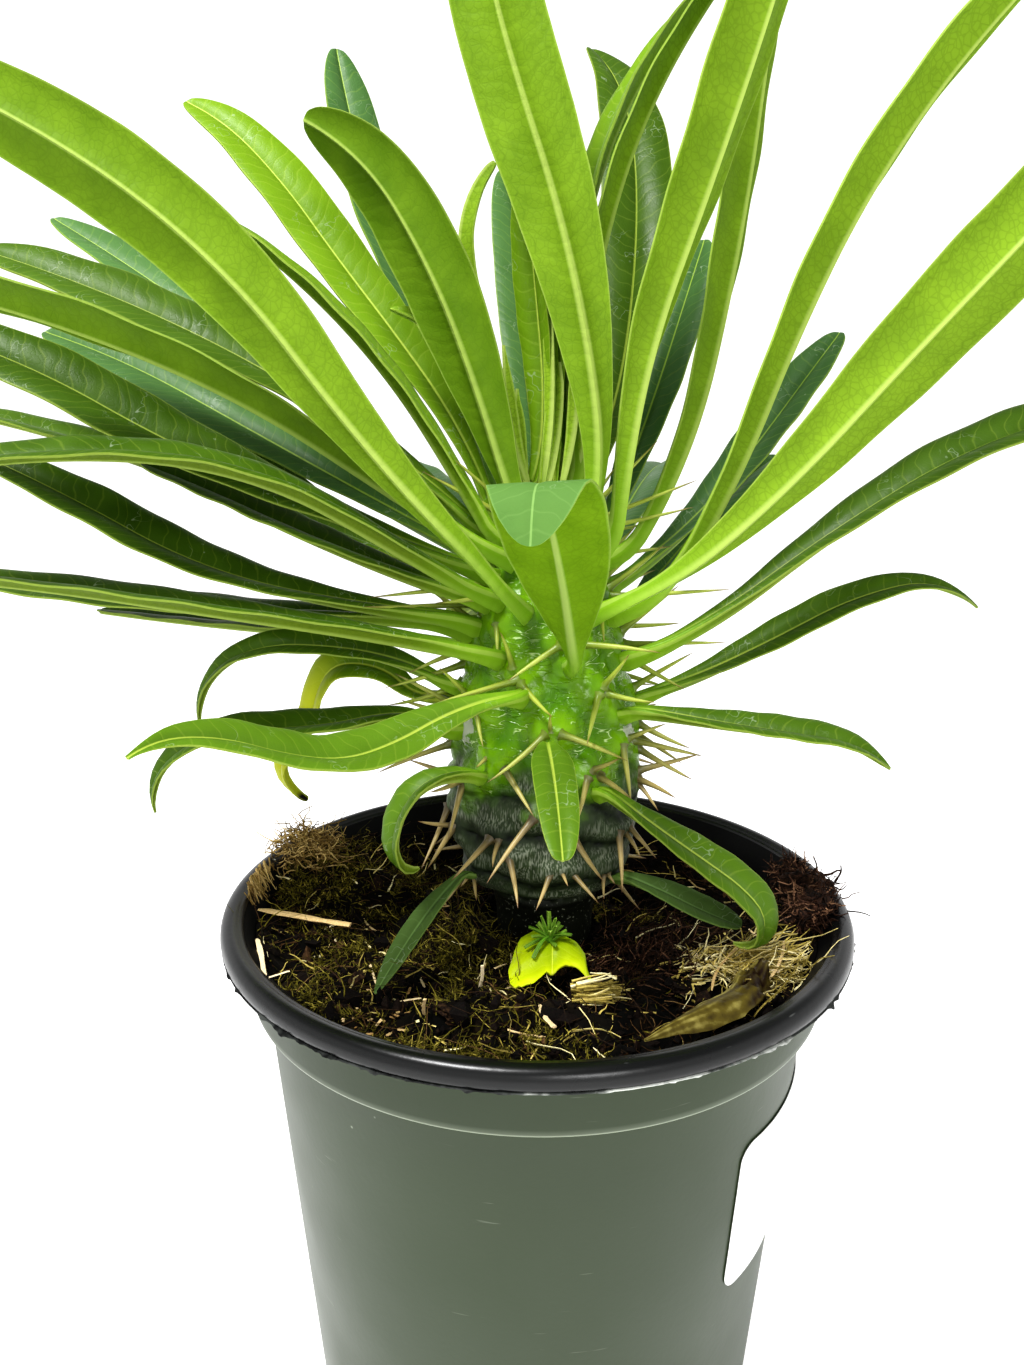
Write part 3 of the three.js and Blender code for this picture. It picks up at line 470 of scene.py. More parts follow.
@dataclass(frozen=True)
class LeafFinish:
    """A living leaf blade: waxy and nearly smooth above, matt and netted below.

    The cuticle gives the top its sheen. Light comes through the blade, so both sides glow. The
    stalk end is fleshy and paler. Lengths are in millimetres on the blade.
    """

    FADING_STEPS: ClassVar = ((0.42, 0.62, 0.9, "#c2c81a"), (0.955, 0.975, 1.0, "#1d140c"))
    SCAR: ClassVar = "#3a1a12"
    DRIED_DROP: ClassVar = "#c9d6bd"

    name: str
    top_dark: str
    top_light: str
    under_dark: str
    under_light: str
    top_rib: str
    under_rib: str
    vein: str
    stalk: str = "#84b022"
    top_roughness: float = 0.4
    under_roughness: float = 0.55
    gloss: float = 0.26
    vein_spacing: float = 3.6
    net_size: float = 1.5
    rib_base: float = 1.3
    rib_tip: float = 0.5
    stalk_end: float = 0.26
    through: float = 0.3
    fades: bool = False

    def build(self, side: Side) -> Material:
        """The material of one side.

        Args:
            side: which face of the blade.

        Returns:
            The material.
        """
        top = side is Side.TOP
        made, add = new_material(f"{self.name}_{side.value}")
        across, length, reach, rim, tone, scar = (
            add("Attribute", output="Fac", attribute_name=fact)
            for fact in ("across", "along", "reach", "rim", "tone", "scar")
        )
        flat = add("CombineXYZ", across, length, tone)
        x = add("ABSOLUTE", across)
        # side veins leave the rib steeply and lean toward the tip near the margin
        lean = add("MULTIPLY_ADD", x, 0.045, 0.25)
        bent = add("MULTIPLY", lean, x)
        wander, mottle = (
            add("TexNoise", Vector=flat, Scale=scale, Detail=detail)
            for scale, detail in ((0.16, 1), (0.09, 2))
        )
        wandered = add("MULTIPLY_ADD", wander, 5, length)
        at = add("SUBTRACT", wandered, bent)
        phase = add("MULTIPLY", at, 1 / self.vein_spacing)
        gap = add("PINGPONG", phase, 0.5)
        vein = add("MapRange", gap, 0, 0.08, 1, 0)
        cell = add("TexVoronoi", Vector=flat, Scale=1 / self.net_size, feature="DISTANCE_TO_EDGE")
        net = add("MapRange", cell, 0, 0.12, 1, 0)
        shade = add("MapRange", mottle, 0.3, 0.7, -0.09, 0.09)
        toned = add("ADD", tone, shade, use_clamp=True)
        dark, light, ridge = (
            (self.top_dark, self.top_light, self.top_rib)
            if top
            else (self.under_dark, self.under_light, self.under_rib)
        )
        colour = add("Mix", toned, dark, light)
        # the net is dark against the light below, and the veins are faint pale lines above
        if top:
            lines = add("MULTIPLY", vein, 0.13)
        else:
            strong = add("MULTIPLY_ADD", tone, 0.24, 0.06)
            lines = add("MAXIMUM", net, vein)
            # the side veins join in a row of loops just inside the margin
            scallop = add("MULTIPLY_ADD", gap, 0.2, rim)
            off = add("SUBTRACT", scallop, 0.86)
            off = add("ABSOLUTE", off)
            loop = add("MapRange", off, 0, 0.035, 1.6, 0)
            lines = add("MAXIMUM", lines, loop)
            lines = add("MULTIPLY", lines, strong)
        colour = add("Mix", lines, colour, ridge if top else self.vein)
        if self.fades:
            # the tip end has lost its green, and the very tip is dead
            for start, end, most, code in self.FADING_STEPS:
                gone = add("MapRange", reach, start, end, 0, most)
                colour = add("Mix", gone, colour, code)
        width = add("MapRange", reach, 0, 0.8, self.rib_base, self.rib_tip)
        if top:
            width = add("MULTIPLY", width, 0.42)
        ratio = add("DIVIDE", x, width)
        rib = add("MapRange", ratio, 0.55, 1.15, 1, 0)
        pale = add("MULTIPLY_ADD", tone, 0.6, 0.4)
        rib = add("MULTIPLY", rib, pale)
        colour = add("Mix", rib, colour, ridge)
        if not self.fades:
            # the stalk has no dark blade on it
            bare = add(
                "MapRange", reach, 0.03, self.stalk_end, 0.8, 0, interpolation_type="SMOOTHSTEP"
            )
            colour = add("Mix", bare, colour, self.stalk)
        # the margin is a thin clear line
        margin = add("MapRange", rim, 0.95, 1, 0, 0.4)
        colour = add("Mix", margin, colour, ridge)
        colour = add("Mix", scar, colour, self.SCAR)
        pillow = add("MapRange", gap, 0, 0.35, 0, 1)
        height = add("MULTIPLY_ADD", net, -0.35, pillow)
        rough = self.top_roughness if top else self.under_roughness
        if top:
            # dried drops leave thin whitish rings on the wax
            drops, where = (
                add("TexNoise", Vector=flat, Scale=scale, Detail=detail)
                for scale, detail in ((0.2, 2), (0.05, 1))
            )
            off = add("SUBTRACT", drops, 0.56)
            off = add("ABSOLUTE", off)
            ring = add("MapRange", off, 0, 0.009, 1, 0)
            patch = add("MapRange", where, 0.5, 0.58, 0, 0.35)
            marks = add("MULTIPLY", ring, patch)
            colour = add("Mix", marks, colour, self.DRIED_DROP)
        roughness = add("MapRange", mottle, 0.3, 0.7, rough - 0.05, rough + 0.09)
        bump = add("Bump", Strength=0.22 if top else 0.3, Distance=0.2 * MM, Height=height)
        skin = add(
            "BsdfPrincipled", Base_Color=colour, Roughness=roughness, IOR=1.43,
            Specular_IOR_Level=self.gloss if top else self.gloss / 2, Normal=bump,
        )
        glow = add("BsdfTranslucent", Color=colour, Normal=bump)
        mixed = add("MixShader", self.through, skin, glow)
        add("OutputMaterial", Surface=mixed)
        return made


YOUNG_LEAF = LeafFinish(
    "young_leaf", "#4c7806", "#8cb024", "#486a06", "#98ba32", "#d4e668", "#b8cc6c", "#355404"
)
# painted sheen: the folded leaf's hanging end is painted paler and greyer
FOLDED_LEAF = LeafFinish(
    "folded_leaf", "#527a3a", "#749a50", "#4c7404", "#98bc2c", "#94ba6c", "#b8cc78", "#3c5c04",
    top_roughness=0.65, gloss=0.1,
)
MATURE_LEAF = LeafFinish(
    "mature_leaf", "#2c4808", "#668a22", "#566e10", "#8ca434", "#bacc58", "#b0c464", "#38500c"
)
SHADED_LEAF = LeafFinish(
    "shaded_leaf", "#325628", "#668e50", "#4a6820", "#809e48", "#b4d058", "#b4d058", "#345424"
)
# painted shade: the lowest leaves are painted in dull greyer greens, and their ribs hardly show
LOW_SHADED_LEAF = LeafFinish(
    "low_shaded_leaf", "#3a501e", "#6c8a4c", "#4a6820", "#809e48", "#7c9c5c", "#9cb86c", "#38521c",
    stalk="#6c8c3c", top_roughness=0.6, gloss=0.12,
)
FADING_LEAF = LeafFinish(
    "fading_leaf", "#3f6608", "#789818", "#62841a", "#9cb42c", "#cfd85a", "#ccd65c", "#5a6a10",
    fades=True,
)
WEED_LEAF = LeafFinish(
    "weed_leaf", "#34600c", "#7ca034", "#3f6c14", "#8cae40", "#a4c25a", "#a4c25a", "#2f5f10",
    stalk="#5f9a1c", net_size=0.8, rib_base=0.2, rib_tip=0.1, stalk_end=0.9,
)


@dataclass(frozen=True)
class BarkFinish:
    """The palm's living bark.

    New bark is green, wet-looking and smooth, crinkled under each leaf, with painted glints on the
    crinkles. Its swellings are lighter, partly their own yellower green and partly painted light.
    Old bark has a grey skin that lies in level folds, with painted shade in the hollows, and is
    combed with short pale hairs on the crests.
    """

    new_dark: str = "#3e6606"
    new_light: str = "#6c940e"
    crinkle_glint: str = "#c4d89c"
    old_dark: str = "#090f08"
    old_light: str = "#323e26"
    hair: str = "#9a9f8c"
    skin: str = "#a0a494"
    neck: str = "#0d1005"
    change_low: float = 176
    change_high: float = 190

    def build(self) -> Material:
        """Makes the bark's material.

        Returns:
            The material.
        """
        made, add = new_material("living_bark")
        place = add("TexCoord", output="Object")
        height, swell, crest, below, dead = (
            add("Attribute", output="Fac", attribute_name=fact)
            for fact in ("height", "swell", "crest", "below", "dead")
        )
        patches, cloud, waver, grain, scraps, dots = (
            add("TexNoise", Vector=place, Scale=scale, Detail=detail)
            for scale, detail in ((110, 3), (130, 2), (260, 2), (520, 3), (420, 4), (1100, 1))
        )
        # stretched level for the wrinkles, upright for the hairs and level for their bands
        squashed, upright, banded = (
            add("Mapping", Vector=place, Scale=(wide, wide, high))
            for wide, high in ((170, 620), (2600, 420), (60, 110))
        )
        uneven = add("MapRange", patches, 0.3, 0.7, -9, 9)
        level = add("ADD", height, uneven)
        new = add("MapRange", level, self.change_low, self.change_high)
        shade = add("MapRange", cloud, 0.34, 0.66, -0.15, 0.4)
        # painted light: the swellings are mixed toward the light green, partly their own yellower
        # colour and partly painted light, and the hollows between them stay dark
        raised = add("MULTIPLY_ADD", swell, 0.45, shade, use_clamp=True)
        green = add("Mix", raised, self.new_dark, self.new_light)
        # the skin crinkles into short level wrinkles, 1 mm apart, just below each swelling, and
        # pale glints are painted on them
        folds = add("TexNoise", Vector=squashed, Scale=1, Detail=1, Distortion=0.6)
        off = add("SUBTRACT", folds, 0.5)
        off = add("ABSOLUTE", off)
        wave = add("MapRange", off, 0, 0.06, 1, 0)
        near = add("MapRange", below, 3, 4.5)
        far = add("MapRange", below, 7, 9.5, 1, 0)
        ringed = add("MULTIPLY", near, far)
        ringed = add("MULTIPLY", ringed, new)
        wave = add("MULTIPLY", wave, ringed)
        broken = add("MapRange", patches, 0.46, 0.56, 0, 0.6)
        glint = add("MapRange", wave, 0.6, 0.95)
        glint = add("MULTIPLY", glint, broken)
        # painted highlight: pale glints painted on the wrinkles in the crinkle glint colour
        green = add("Mix", glint, green, self.crinkle_glint)
        # painted shade: the old skin is darker in the hollows of its folds and lighter on their
        # crests, with random grain
        grain_and_fold_shade = add("MapRange", grain, 0.3, 0.7, -0.25, 0.25)
        grain_and_fold_shade = add("ADD", crest, grain_and_fold_shade, use_clamp=True)
        grey = add("Mix", grain_and_fold_shade, self.old_dark, self.old_light)
        # hairs are short upright strokes on the crests, a third of a millimetre wide
        strokes = add("TexNoise", Vector=upright, Scale=1, Detail=1)
        hairs = add("MapRange", strokes, 0.46, 0.62)
        on_crest = add("MapRange", crest, 0.5, 0.9, 0, 0.45)
        patch = add("TexNoise", Vector=banded, Scale=1, Detail=2)
        where = add("MapRange", patch, 0.4, 0.58)
        where = add("MULTIPLY", where, on_crest)
        hairs = add("MULTIPLY", hairs, where)
        haired = add("Mix", hairs, grey, self.hair)
        colour = add("Mix", new, haired, green)
        # scraps of the dead outer skin still cling in two places
        scrap = add("ADD", scraps, dead)
        scrap = add("MapRange", scrap, 1, 1.06, 0, 0.85)
        colour = add("Mix", scrap, colour, self.skin)
        # the neck above the soil is dark and smooth, with fine pale specks
        neck = add("MapRange", height, 150.5, 153.5, 1, 0)
        speck = add("MapRange", dots, 0.66, 0.74, 0, 0.5)
        smooth = add("Mix", speck, self.neck, self.hair)
        colour = add("Mix", neck, colour, smooth)
        roughness = add("MapRange", new, 0, 1, 0.55, 0.2)
        relief = add("MULTIPLY_ADD", hairs, 0.5, waver)
        relief = add("MULTIPLY_ADD", wave, 0.7, relief)
        skin_of(add, colour, roughness, relief, 0.6, 0.35, Specular_IOR_Level=0.18)
        return made


@dataclass(frozen=True)
class SpineFinish:
    """Spines of hardened stipule: green while new, bone-coloured later, with a brown point."""

    new_root: str = "#5a6e10"
    new_middle: str = "#94a03c"
    old_root: str = "#4e442a"
    old_middle: str = "#a4905e"
    point: str = "#5a2c14"

    def build(self) -> Material:
        """Makes the spines' material.

        Returns:
            The material.
        """
        made, add = new_material("hardened_spine")
        share, age = (
            add("Attribute", output="Fac", attribute_name=fact) for fact in ("share", "age")
        )
        middle = add("MapRange", share, 0.05, 0.45)
        colours = [
            add("Mix", middle, root, body)
            for root, body in ((self.new_root, self.new_middle), (self.old_root, self.old_middle))
        ]
        colour = add("Mix", age, colours[0], colours[1])
        tip = add("MapRange", share, 0.78, 1, 0, 0.9)
        colour = add("Mix", tip, colour, self.point)
        place = add("TexCoord", output="Object")
        grain = add("TexNoise", Vector=place, Scale=900, Detail=2)
        skin_of(add, colour, 0.42, grain, 0.4, 0.15)
        return made


@dataclass(frozen=True)
class MouldedPlastic:
    """Injection-moulded polypropylene: satin, with a faint orange peel, specks and scuffs."""

    name: str
    base: str
    scuff: str
    roughness: float
    speck_share: float
    edge: str
    gloss: float = 0.45

    def build(self) -> Material:
        """Makes the plastic's material.

        Returns:
            The material.
        """
        made, add = new_material(self.name)
        place = add("TexCoord", output="Object")
        edge = add("Attribute", output="Fac", attribute_name="edge")
        cloud, pick, peel = (
            add("TexNoise", Vector=place, Scale=scale, Detail=detail)
            for scale, detail in ((22, 3), (61, 1), (650, 2))
        )
        # specks of moulding dust, 0.3 to 0.9 mm across
        dots = add("TexVoronoi", Vector=place, Scale=190, Randomness=1, feature="F1")
        small = add("MapRange", dots, 0.05, 0.11, 1, 0)
        limit = 0.72 - 0.14 * self.speck_share
        picked = add("MapRange", pick, limit, limit + 0.02)
        specks = add("MULTIPLY", small, picked)
        # scratches run nearly level
        level = add("Mapping", Vector=place, Scale=(70, 70, 900))
        lines = add("TexNoise", Vector=level, Scale=1, Detail=2)
        thin = add("MapRange", lines, 0.73, 0.8, 0, 0.25)
        marks = add("MAXIMUM", specks, thin)
        marks = add("MULTIPLY", marks, 0.85)
        colour = add("Mix", marks, self.base, self.scuff)
        # painted highlight: a pale line where the edge fact is set
        colour = add("Mix", edge, colour, self.edge)
        roughness = add("MapRange", cloud, 0.3, 0.7, self.roughness - 0.05, self.roughness + 0.07)
        skin_of(add, colour, roughness, peel, 0.12, 0.2, IOR=1.49, Specular_IOR_Level=self.gloss)
        return made


@dataclass(frozen=True)
class Fibrous:
    """Plant fibre, bark or peat: matt, each strand or crumb with a tone of its own."""

    name: str
    dark: str
    middle: str
    light: str
    roughness: float = 0.9
    grain: float = 0.4

    def build(self) -> Material:
        """Makes the fibre's material.

        Returns:
            The material.
        """
        made, add = new_material(self.name)
        place = add("TexCoord", output="Object")
        tone = add("Attribute", output="Fac", attribute_name="tone")
        noise = add("TexNoise", Vector=place, Scale=1 / (self.grain * MM), Detail=3)
        spread = add("MapRange", noise, 0.3, 0.7, -0.14, 0.14)
        mixed = add("ADD", tone, spread)
        low = add("MapRange", mixed, 0, 0.5)
        high = add("MapRange", mixed, 0.5, 1)
        colour = add("Mix", low, self.dark, self.middle)
        colour = add("Mix", high, colour, self.light)
        skin_of(add, colour, self.roughness, noise, 0.7, 0.3, Specular_IOR_Level=0.12)
        return made


PEAT = Fibrous("peat_and_coir", "#020201", "#110c06", "#3a2e1a", 0.95, 1.2)
MOSS = Fibrous("living_moss", "#070902", "#6c641e", "#d0bc60", 0.7, 0.8)
COIR = Fibrous("coir_fibre", "#070403", "#463018", "#9c7e50", 0.7, 0.6)
STRAW = Fibrous("dry_straw", "#5c5020", "#ccb864", "#fcf2c4", 0.6, 0.7)
WOOD = Fibrous("split_softwood", "#8a6a3c", "#cdb07c", "#f0e0bc", 0.75, 0.5)
BARK_CHIP = Fibrous("bark_chip", "#060302", "#1a100a", "#6c5034", 0.85, 0.7)
ROOT_FIBRE = Fibrous("root_fibre", "#0a0604", "#3a2418", "#987458", 0.75, 0.5)
TAN_FIBRE = Fibrous("tan_fibre", "#241a0a", "#8e7440", "#e4c888", 0.75, 0.6)
DRY_LEAF = Fibrous("withered_leaf", "#1e110a", "#544a1c", "#a49a58", 0.4, 2.2)
FLASH = Fibrous("torn_moulding_flash", "#0c0d0d", "#4a4d4a", "#d0d3cc", 0.5, 1.6)


@dataclass(frozen=True)
class CoatedPaper:
    """A label of satin coated paper, bare and very slightly rippled by its glue."""

    base: str = "#f7f7f5"
    roughness: float = 0.45

    def build(self) -> Material:
        """Makes the paper's material.

        Returns:
            The material.
        """
        made, add = new_material("satin_coated_paper")
        place = add("TexCoord", output="Object")
        ripple, fibre = (
            add("TexNoise", Vector=place, Scale=scale, Detail=2) for scale in (90, 1500)
        )
        dull = add("MapRange", fibre, 0.3, 0.7, self.roughness - 0.04, self.roughness + 0.06)
        skin_of(add, self.base, dull, ripple, 0.15, 0.3)
        return made


# ---- leaves and their courses


class LeafKind(Enum):
    """A leaf's age and light, with its record slot and finish."""

    YOUNG = ("leaf_young", YOUNG_LEAF)
    MATURE = ("leaf_mature", MATURE_LEAF)
    BLUISH = ("leaf_shaded", SHADED_LEAF)
    FADING = ("leaf_fading", FADING_LEAF)
    WEED = ("leaf_seedling", WEED_LEAF)
    FOLDED = ("leaf_young", FOLDED_LEAF)
    LOW_SHADED = ("leaf_shaded", LOW_SHADED_LEAF)


YOUNG, MATURE, BLUISH, FADING, WEED, FOLDED, LOW_SHADED = LeafKind


@dataclass(frozen=True)
class Leaf:
    """One leaf: where it leaves the trunk, its size and its course.

    Pitch, heading and roll are in degrees and hold at equal steps from foot to tip. A scar is
    its distance along the blade, its distance across, its length and its width. The tone
    deepens toward the tip by a share, a higher pointed gives a sharper tip, and widest is the
    share of the length where the blade is widest.
    """

    kind: LeafKind
    az: float
    z: float
    length: float
    width: float
    fold: float
    pitch: tuple[float, ...]
    heading: tuple[float, ...]
    roll: tuple[float, ...]
    tone: float = 0.5
    foot_pitch: float = 22
    deepens: float = 0
    pointed: float = 0.5
    widest: float = 0.66
    scars: tuple[tuple[float, float, float, float], ...] = ()


LEAVES = (
    # the crown's front and left
    Leaf(YOUNG, 252, 226, 182, 19, 12, (53, 45, 50, 53, 43, 33, 26, 22),
        (211, 200, 190, 183, 179, 178, 178, 178), (45, 80, 78), 0.62, deepens=0.35),
    Leaf(YOUNG, 226, 237, 150, 20, 14, (32, 33, 20, 8), (186, 188, 204, 212), (15, 15), 0.3),
    Leaf(MATURE, 186, 240, 150, 20, 14, (44, 33, 24, 16), (176, 174), (-20, -32), 0.5),
    Leaf(MATURE, 206, 233, 150, 20, 14, (20, 22, 30, 14), (182, 179), (-20, -38), 0.3),
    Leaf(BLUISH, 160, 234, 150, 20, 12, (24, 26, 26, 16), (160, 163), (-20, -28), 0.6),
    Leaf(BLUISH, 138, 235, 176, 20, 12, (36, 34, 32, 28), (153, 161), (-15, -20), 0.7),
    Leaf(MATURE, 176, 228, 150, 17, 16, (20, 20, 17, 10), (172, 173), (-6, -8), 0.5),
    Leaf(MATURE, 226, 228, 130, 18, 16, (29, 31, 30, 17, 4, -4, -12), (200, 198, 200), (-5, -14),
        0.35),
    Leaf(MATURE, 200, 221, 136, 18, 14, (4, 10, 28, 22), (174, 171), (-10, -20), 0.25),
    Leaf(MATURE, 182, 218, 150, 18, 14, (4, -1, 5, 5), (170, 169), (-5, -12), 0.3),
    Leaf(MATURE, 235, 215, 128, 17, 16, (14, 10, 10, 6), (194, 188), (0, 0), 0.3),
    Leaf(MATURE, 165, 225, 132, 20, 12, (20, 24, 31, 29), (160, 160), (-25, -38), 0.35),
    Leaf(MATURE, 210, 227, 92, 17, 14, (16, 20, 24, 20), (176, 173), (-5, -10), 0.4),
    Leaf(MATURE, 166, 212, 112, 17, 14, (4, 0, 2, 4), (166, 166), (0, 0), 0.35),
    # lower left, drooping and curling
    Leaf(MATURE, 190, 205, 84, 11, 18, (32, 19, 8, 1, -19, -56, -102), (180, 179, 176),
        (-22, -26), 0.4, pointed=1.3, widest=0.45),
    Leaf(FADING, 166, 197, 88, 14, 16, (-44, 3, 34, 14, -7, -59, -80, -47, -59, -118, -150),
        (168, 151, 150, 166, 168, 167, 171, 176, 180, 181, 177), (-30, -45, -20), 0.5,
        foot_pitch=40),
    Leaf(MATURE, 206, 196, 86, 14, 16, (49, 6, -7, 0, 2, -12, -50, -105),
        (192, 198, 199, 198, 198, 199, 199, 193), (-8, -14), 0.35, foot_pitch=10, pointed=1.3,
        widest=0.5),
    Leaf(MATURE, 255, 207, 100, 15, 14, (1, -10, -16, -4, 18, 26, 12, -18),
        (196, 210, 222, 225, 222, 222, 230, 243), (-40, -16, -34), 0.9, foot_pitch=10,
        pointed=1.5, widest=0.55),
    Leaf(MATURE, 232, 187, 46, 11, 18, (17, 1, -18, -46, -67, -85, -122, -199),
        (206, 205, 208, 214), (0, 0), 0.7, pointed=1.0, widest=0.5),
    # the tall centre
    Leaf(YOUNG, 288, 237, 172, 20, 10, (68, 84, 97, 102, 106, 110, 108, 103, 98, 93), (345, 345),
        (-50, -72, -78, -78), 0.4),
    Leaf(YOUNG, 262, 239, 114, 18, 10, (66, 72, 68, 58, 26), (180, 172, 174), (60, 80, 60), 0.18),
    Leaf(BLUISH, 102, 238, 138, 17, 12, (52, 54, 55, 53), (91, 93, 99, 107), (0, 0), 0.6),
    Leaf(MATURE, 70, 238, 172, 20, 12, (54, 55, 60, 67, 70, 66, 59, 49, 33),
        (55, 55, 60, 69, 78, 89, 100, 112, 126), (0, 0), 0.35),
    Leaf(YOUNG, 318, 237, 172, 20, 20, (86, 80, 69, 71, 74, 75), (338, 338), (-18, -25), 0.55),
    Leaf(BLUISH, 46, 234, 104, 16, 12, (56, 58, 60, 58), (50, 56), (0, 0), 0.45),
    # right
    Leaf(MATURE, 338, 213, 152, 18, 16, (24, 38, 32, 16, 4), (2, 6), (8, 22), 0.35),
    Leaf(MATURE, 2, 201, 96, 12, 16, (16, 26, 29, 13, -44), (4, 4), (20, 26), 0.45, pointed=1.4,
        widest=0.5),
    Leaf(MATURE, 322, 201, 66, 12, 16, (-2, -6, -4, -6, -44), (344, 349), (10, 12), 0.4,
        pointed=1.1, widest=0.62),
    Leaf(YOUNG, 332, 224, 180, 17, 18, (41, 63, 70, 66, 57, 47, 38), (352, 346, 350), (-16, -24),
        0.6),
    Leaf(YOUNG, 352, 236, 160, 20, 12, (56, 78, 84, 84), (2, 10), (-30, -42), 0.5),
    Leaf(BLUISH, 18, 229, 100, 16, 14, (27, 37, 46, 47, 45), (27, 33), (5, 10), 0.4),
    Leaf(YOUNG, 305, 225, 176, 21, 10, (19, 42, 49, 48, 48, 48), (350, 357, 359), (-60, -80), 0.6),
    # the crown's back left
    Leaf(YOUNG, 165, 242, 143, 17, 12, (75, 62, 52, 50, 52, 44, 24), (160, 161), (-30, -36), 0.6),
    Leaf(YOUNG, 212, 240, 106, 16, 14, (60, 56, 44, 32), (176, 175), (0, 0), 0.55),
    Leaf(BLUISH, 128, 240, 155, 18, 12, (66, 59, 54, 59, 65, 68), (131, 136, 139, 135, 128, 121),
        (0, 0), 0.5),
    # pointing at the front
    Leaf(FOLDED, 285, 214, 90, 21, 0, (30, 40, 41, 42, 42, 41, 40, 39, 36, 20, -62, -86),
        (263, 261, 259, 260), (0, 2, 3), 0.4, pointed=0.6),
    Leaf(MATURE, 270, 196, 47, 9.5, 12, (2, -16, -38), (274, 274), (0, 0), 0.8, pointed=0.4,
        widest=0.45),
    Leaf(MATURE, 298, 184, 66, 12, 14, (-36, -34, -32, -31, -32, -47, -105, -208),
        (346, 346, 345, 344, 335), (15, 25), 0.4, deepens=-0.35, pointed=0.9, widest=0.6),
    Leaf(LOW_SHADED, 316, 160, 35, 9, 14, (-12, -22, -14), (344, 345), (15, 15), 0.4),
    Leaf(LOW_SHADED, 222, 160, 42, 6.5, 14, (-20, -32, -36), (228, 240), (0, 0), 0.4, pointed=1.0,
        widest=0.55),
    # the far side
    Leaf(BLUISH, 90, 222, 158, 20, 14, (24, 20, 12, -2), (90, 93), (0, 5), 0.4),
    Leaf(BLUISH, 60, 224, 140, 19, 14, (22, 18, 10, 0), (74, 76), (0, -5), 0.4),
    Leaf(BLUISH, 120, 222, 140, 19, 14, (24, 18, 12, 2), (110, 112), (0, 5), 0.4),
    Leaf(BLUISH, 36, 217, 90, 15, 14, (30, 36, 30, 16), (44, 46), (0, 0), 0.4),
    Leaf(MATURE, 104, 206, 110, 15, 16, (8, 4, -10, -40), (104, 106), (0, 0), 0.4),
    Leaf(MATURE, 72, 200, 90, 14, 16, (4, 0, -16, -52), (78, 80), (0, 0), 0.4),
)

# Marks on the blades, by the leaf's number.
SCARS = {29: ((62, 3.4, 3.0, 1.2), (71, 5.6, 5.0, 0.9), (84, 6.2, 9.0, 0.8))}

# What the leaf finishes read on a stem, which has no blade.
PLAIN_BLADE = dict.fromkeys(("across", "along", "reach", "rim", "scar"), 0.0)

TIP_LEAVES = (
    Leaf(YOUNG, 30, 0, 128, 13, 24, (98, 92, 82, 71, 57, 46), (60, 28, 8), (0, 0), 0.6, 60),
    Leaf(YOUNG, 340, 0, 126, 13, 24, (94, 87, 79, 71, 60, 51), (0, 5, 2), (-8, -8), 0.6, 60),
    Leaf(YOUNG, 180, 0, 83, 7, 24, (70, 74, 75, 74, 78, 104, 138), (178, 178), (30, 30), 0.7, 60),
    Leaf(YOUNG, 200, 0, 60, 10, 24, (45, 52, 62, 68, 63, 41, 7), (186, 178), (-10, -30), 0.7, 60,
        pointed=0.9),
    Leaf(YOUNG, 210, 0, 76, 10.5, 24, (67, 88, 97, 97, 97), (30, 30), (18, 18), 0.55, 60),
    Leaf(YOUNG, 240, 0, 36, 7, 26, (69, 82, 92), (0, 0), (-40, -40), 0.95, 60, pointed=1.9),
    Leaf(YOUNG, 0, 0, 20, 5, 26, (79, 84, 88), (10, 10), (-40, -40), 0.8, 60, pointed=1.9),
    Leaf(YOUNG, 200, 0, 30, 5, 26, (66, 84, 94), (180, 180), (40, 40), 0.9, 60, pointed=1.9),
    Leaf(YOUNG, 210, 0, 34, 6, 26, (66, 64, 64), (184, 184), (-20, -20), 0.9, 60, pointed=1.9),
    Leaf(YOUNG, 280, 0, 50, 5, 26, (86, 88, 88), (90, 90), (0, 0), 0.7, 60, pointed=1.9),
    Leaf(YOUNG, 60, 0, 84, 11, 24, (82, 84, 80), (70, 70), (0, 0), 0.6, 60),
    Leaf(YOUNG, 300, 0, 46, 3.6, 26, (74, 86, 92), (350, 350), (-40, -40), 0.95, 60,
        pointed=1.9),
    Leaf(YOUNG, 250, 0, 58, 4, 26, (80, 90, 97), (350, 350), (-60, -60), 0.9, 60, pointed=1.9),
    Leaf(YOUNG, 220, 0, 40, 3.4, 26, (70, 80, 84), (184, 184), (30, 30), 0.9, 60, pointed=1.9),
    Leaf(YOUNG, 330, 0, 34, 3.4, 26, (72, 76, 80), (0, 0), (-30, -30), 0.95, 60, pointed=1.9),
    Leaf(YOUNG, 100, 0, 70, 10, 24, (80, 82, 84), (110, 110), (0, 0), 0.6, 60),
)


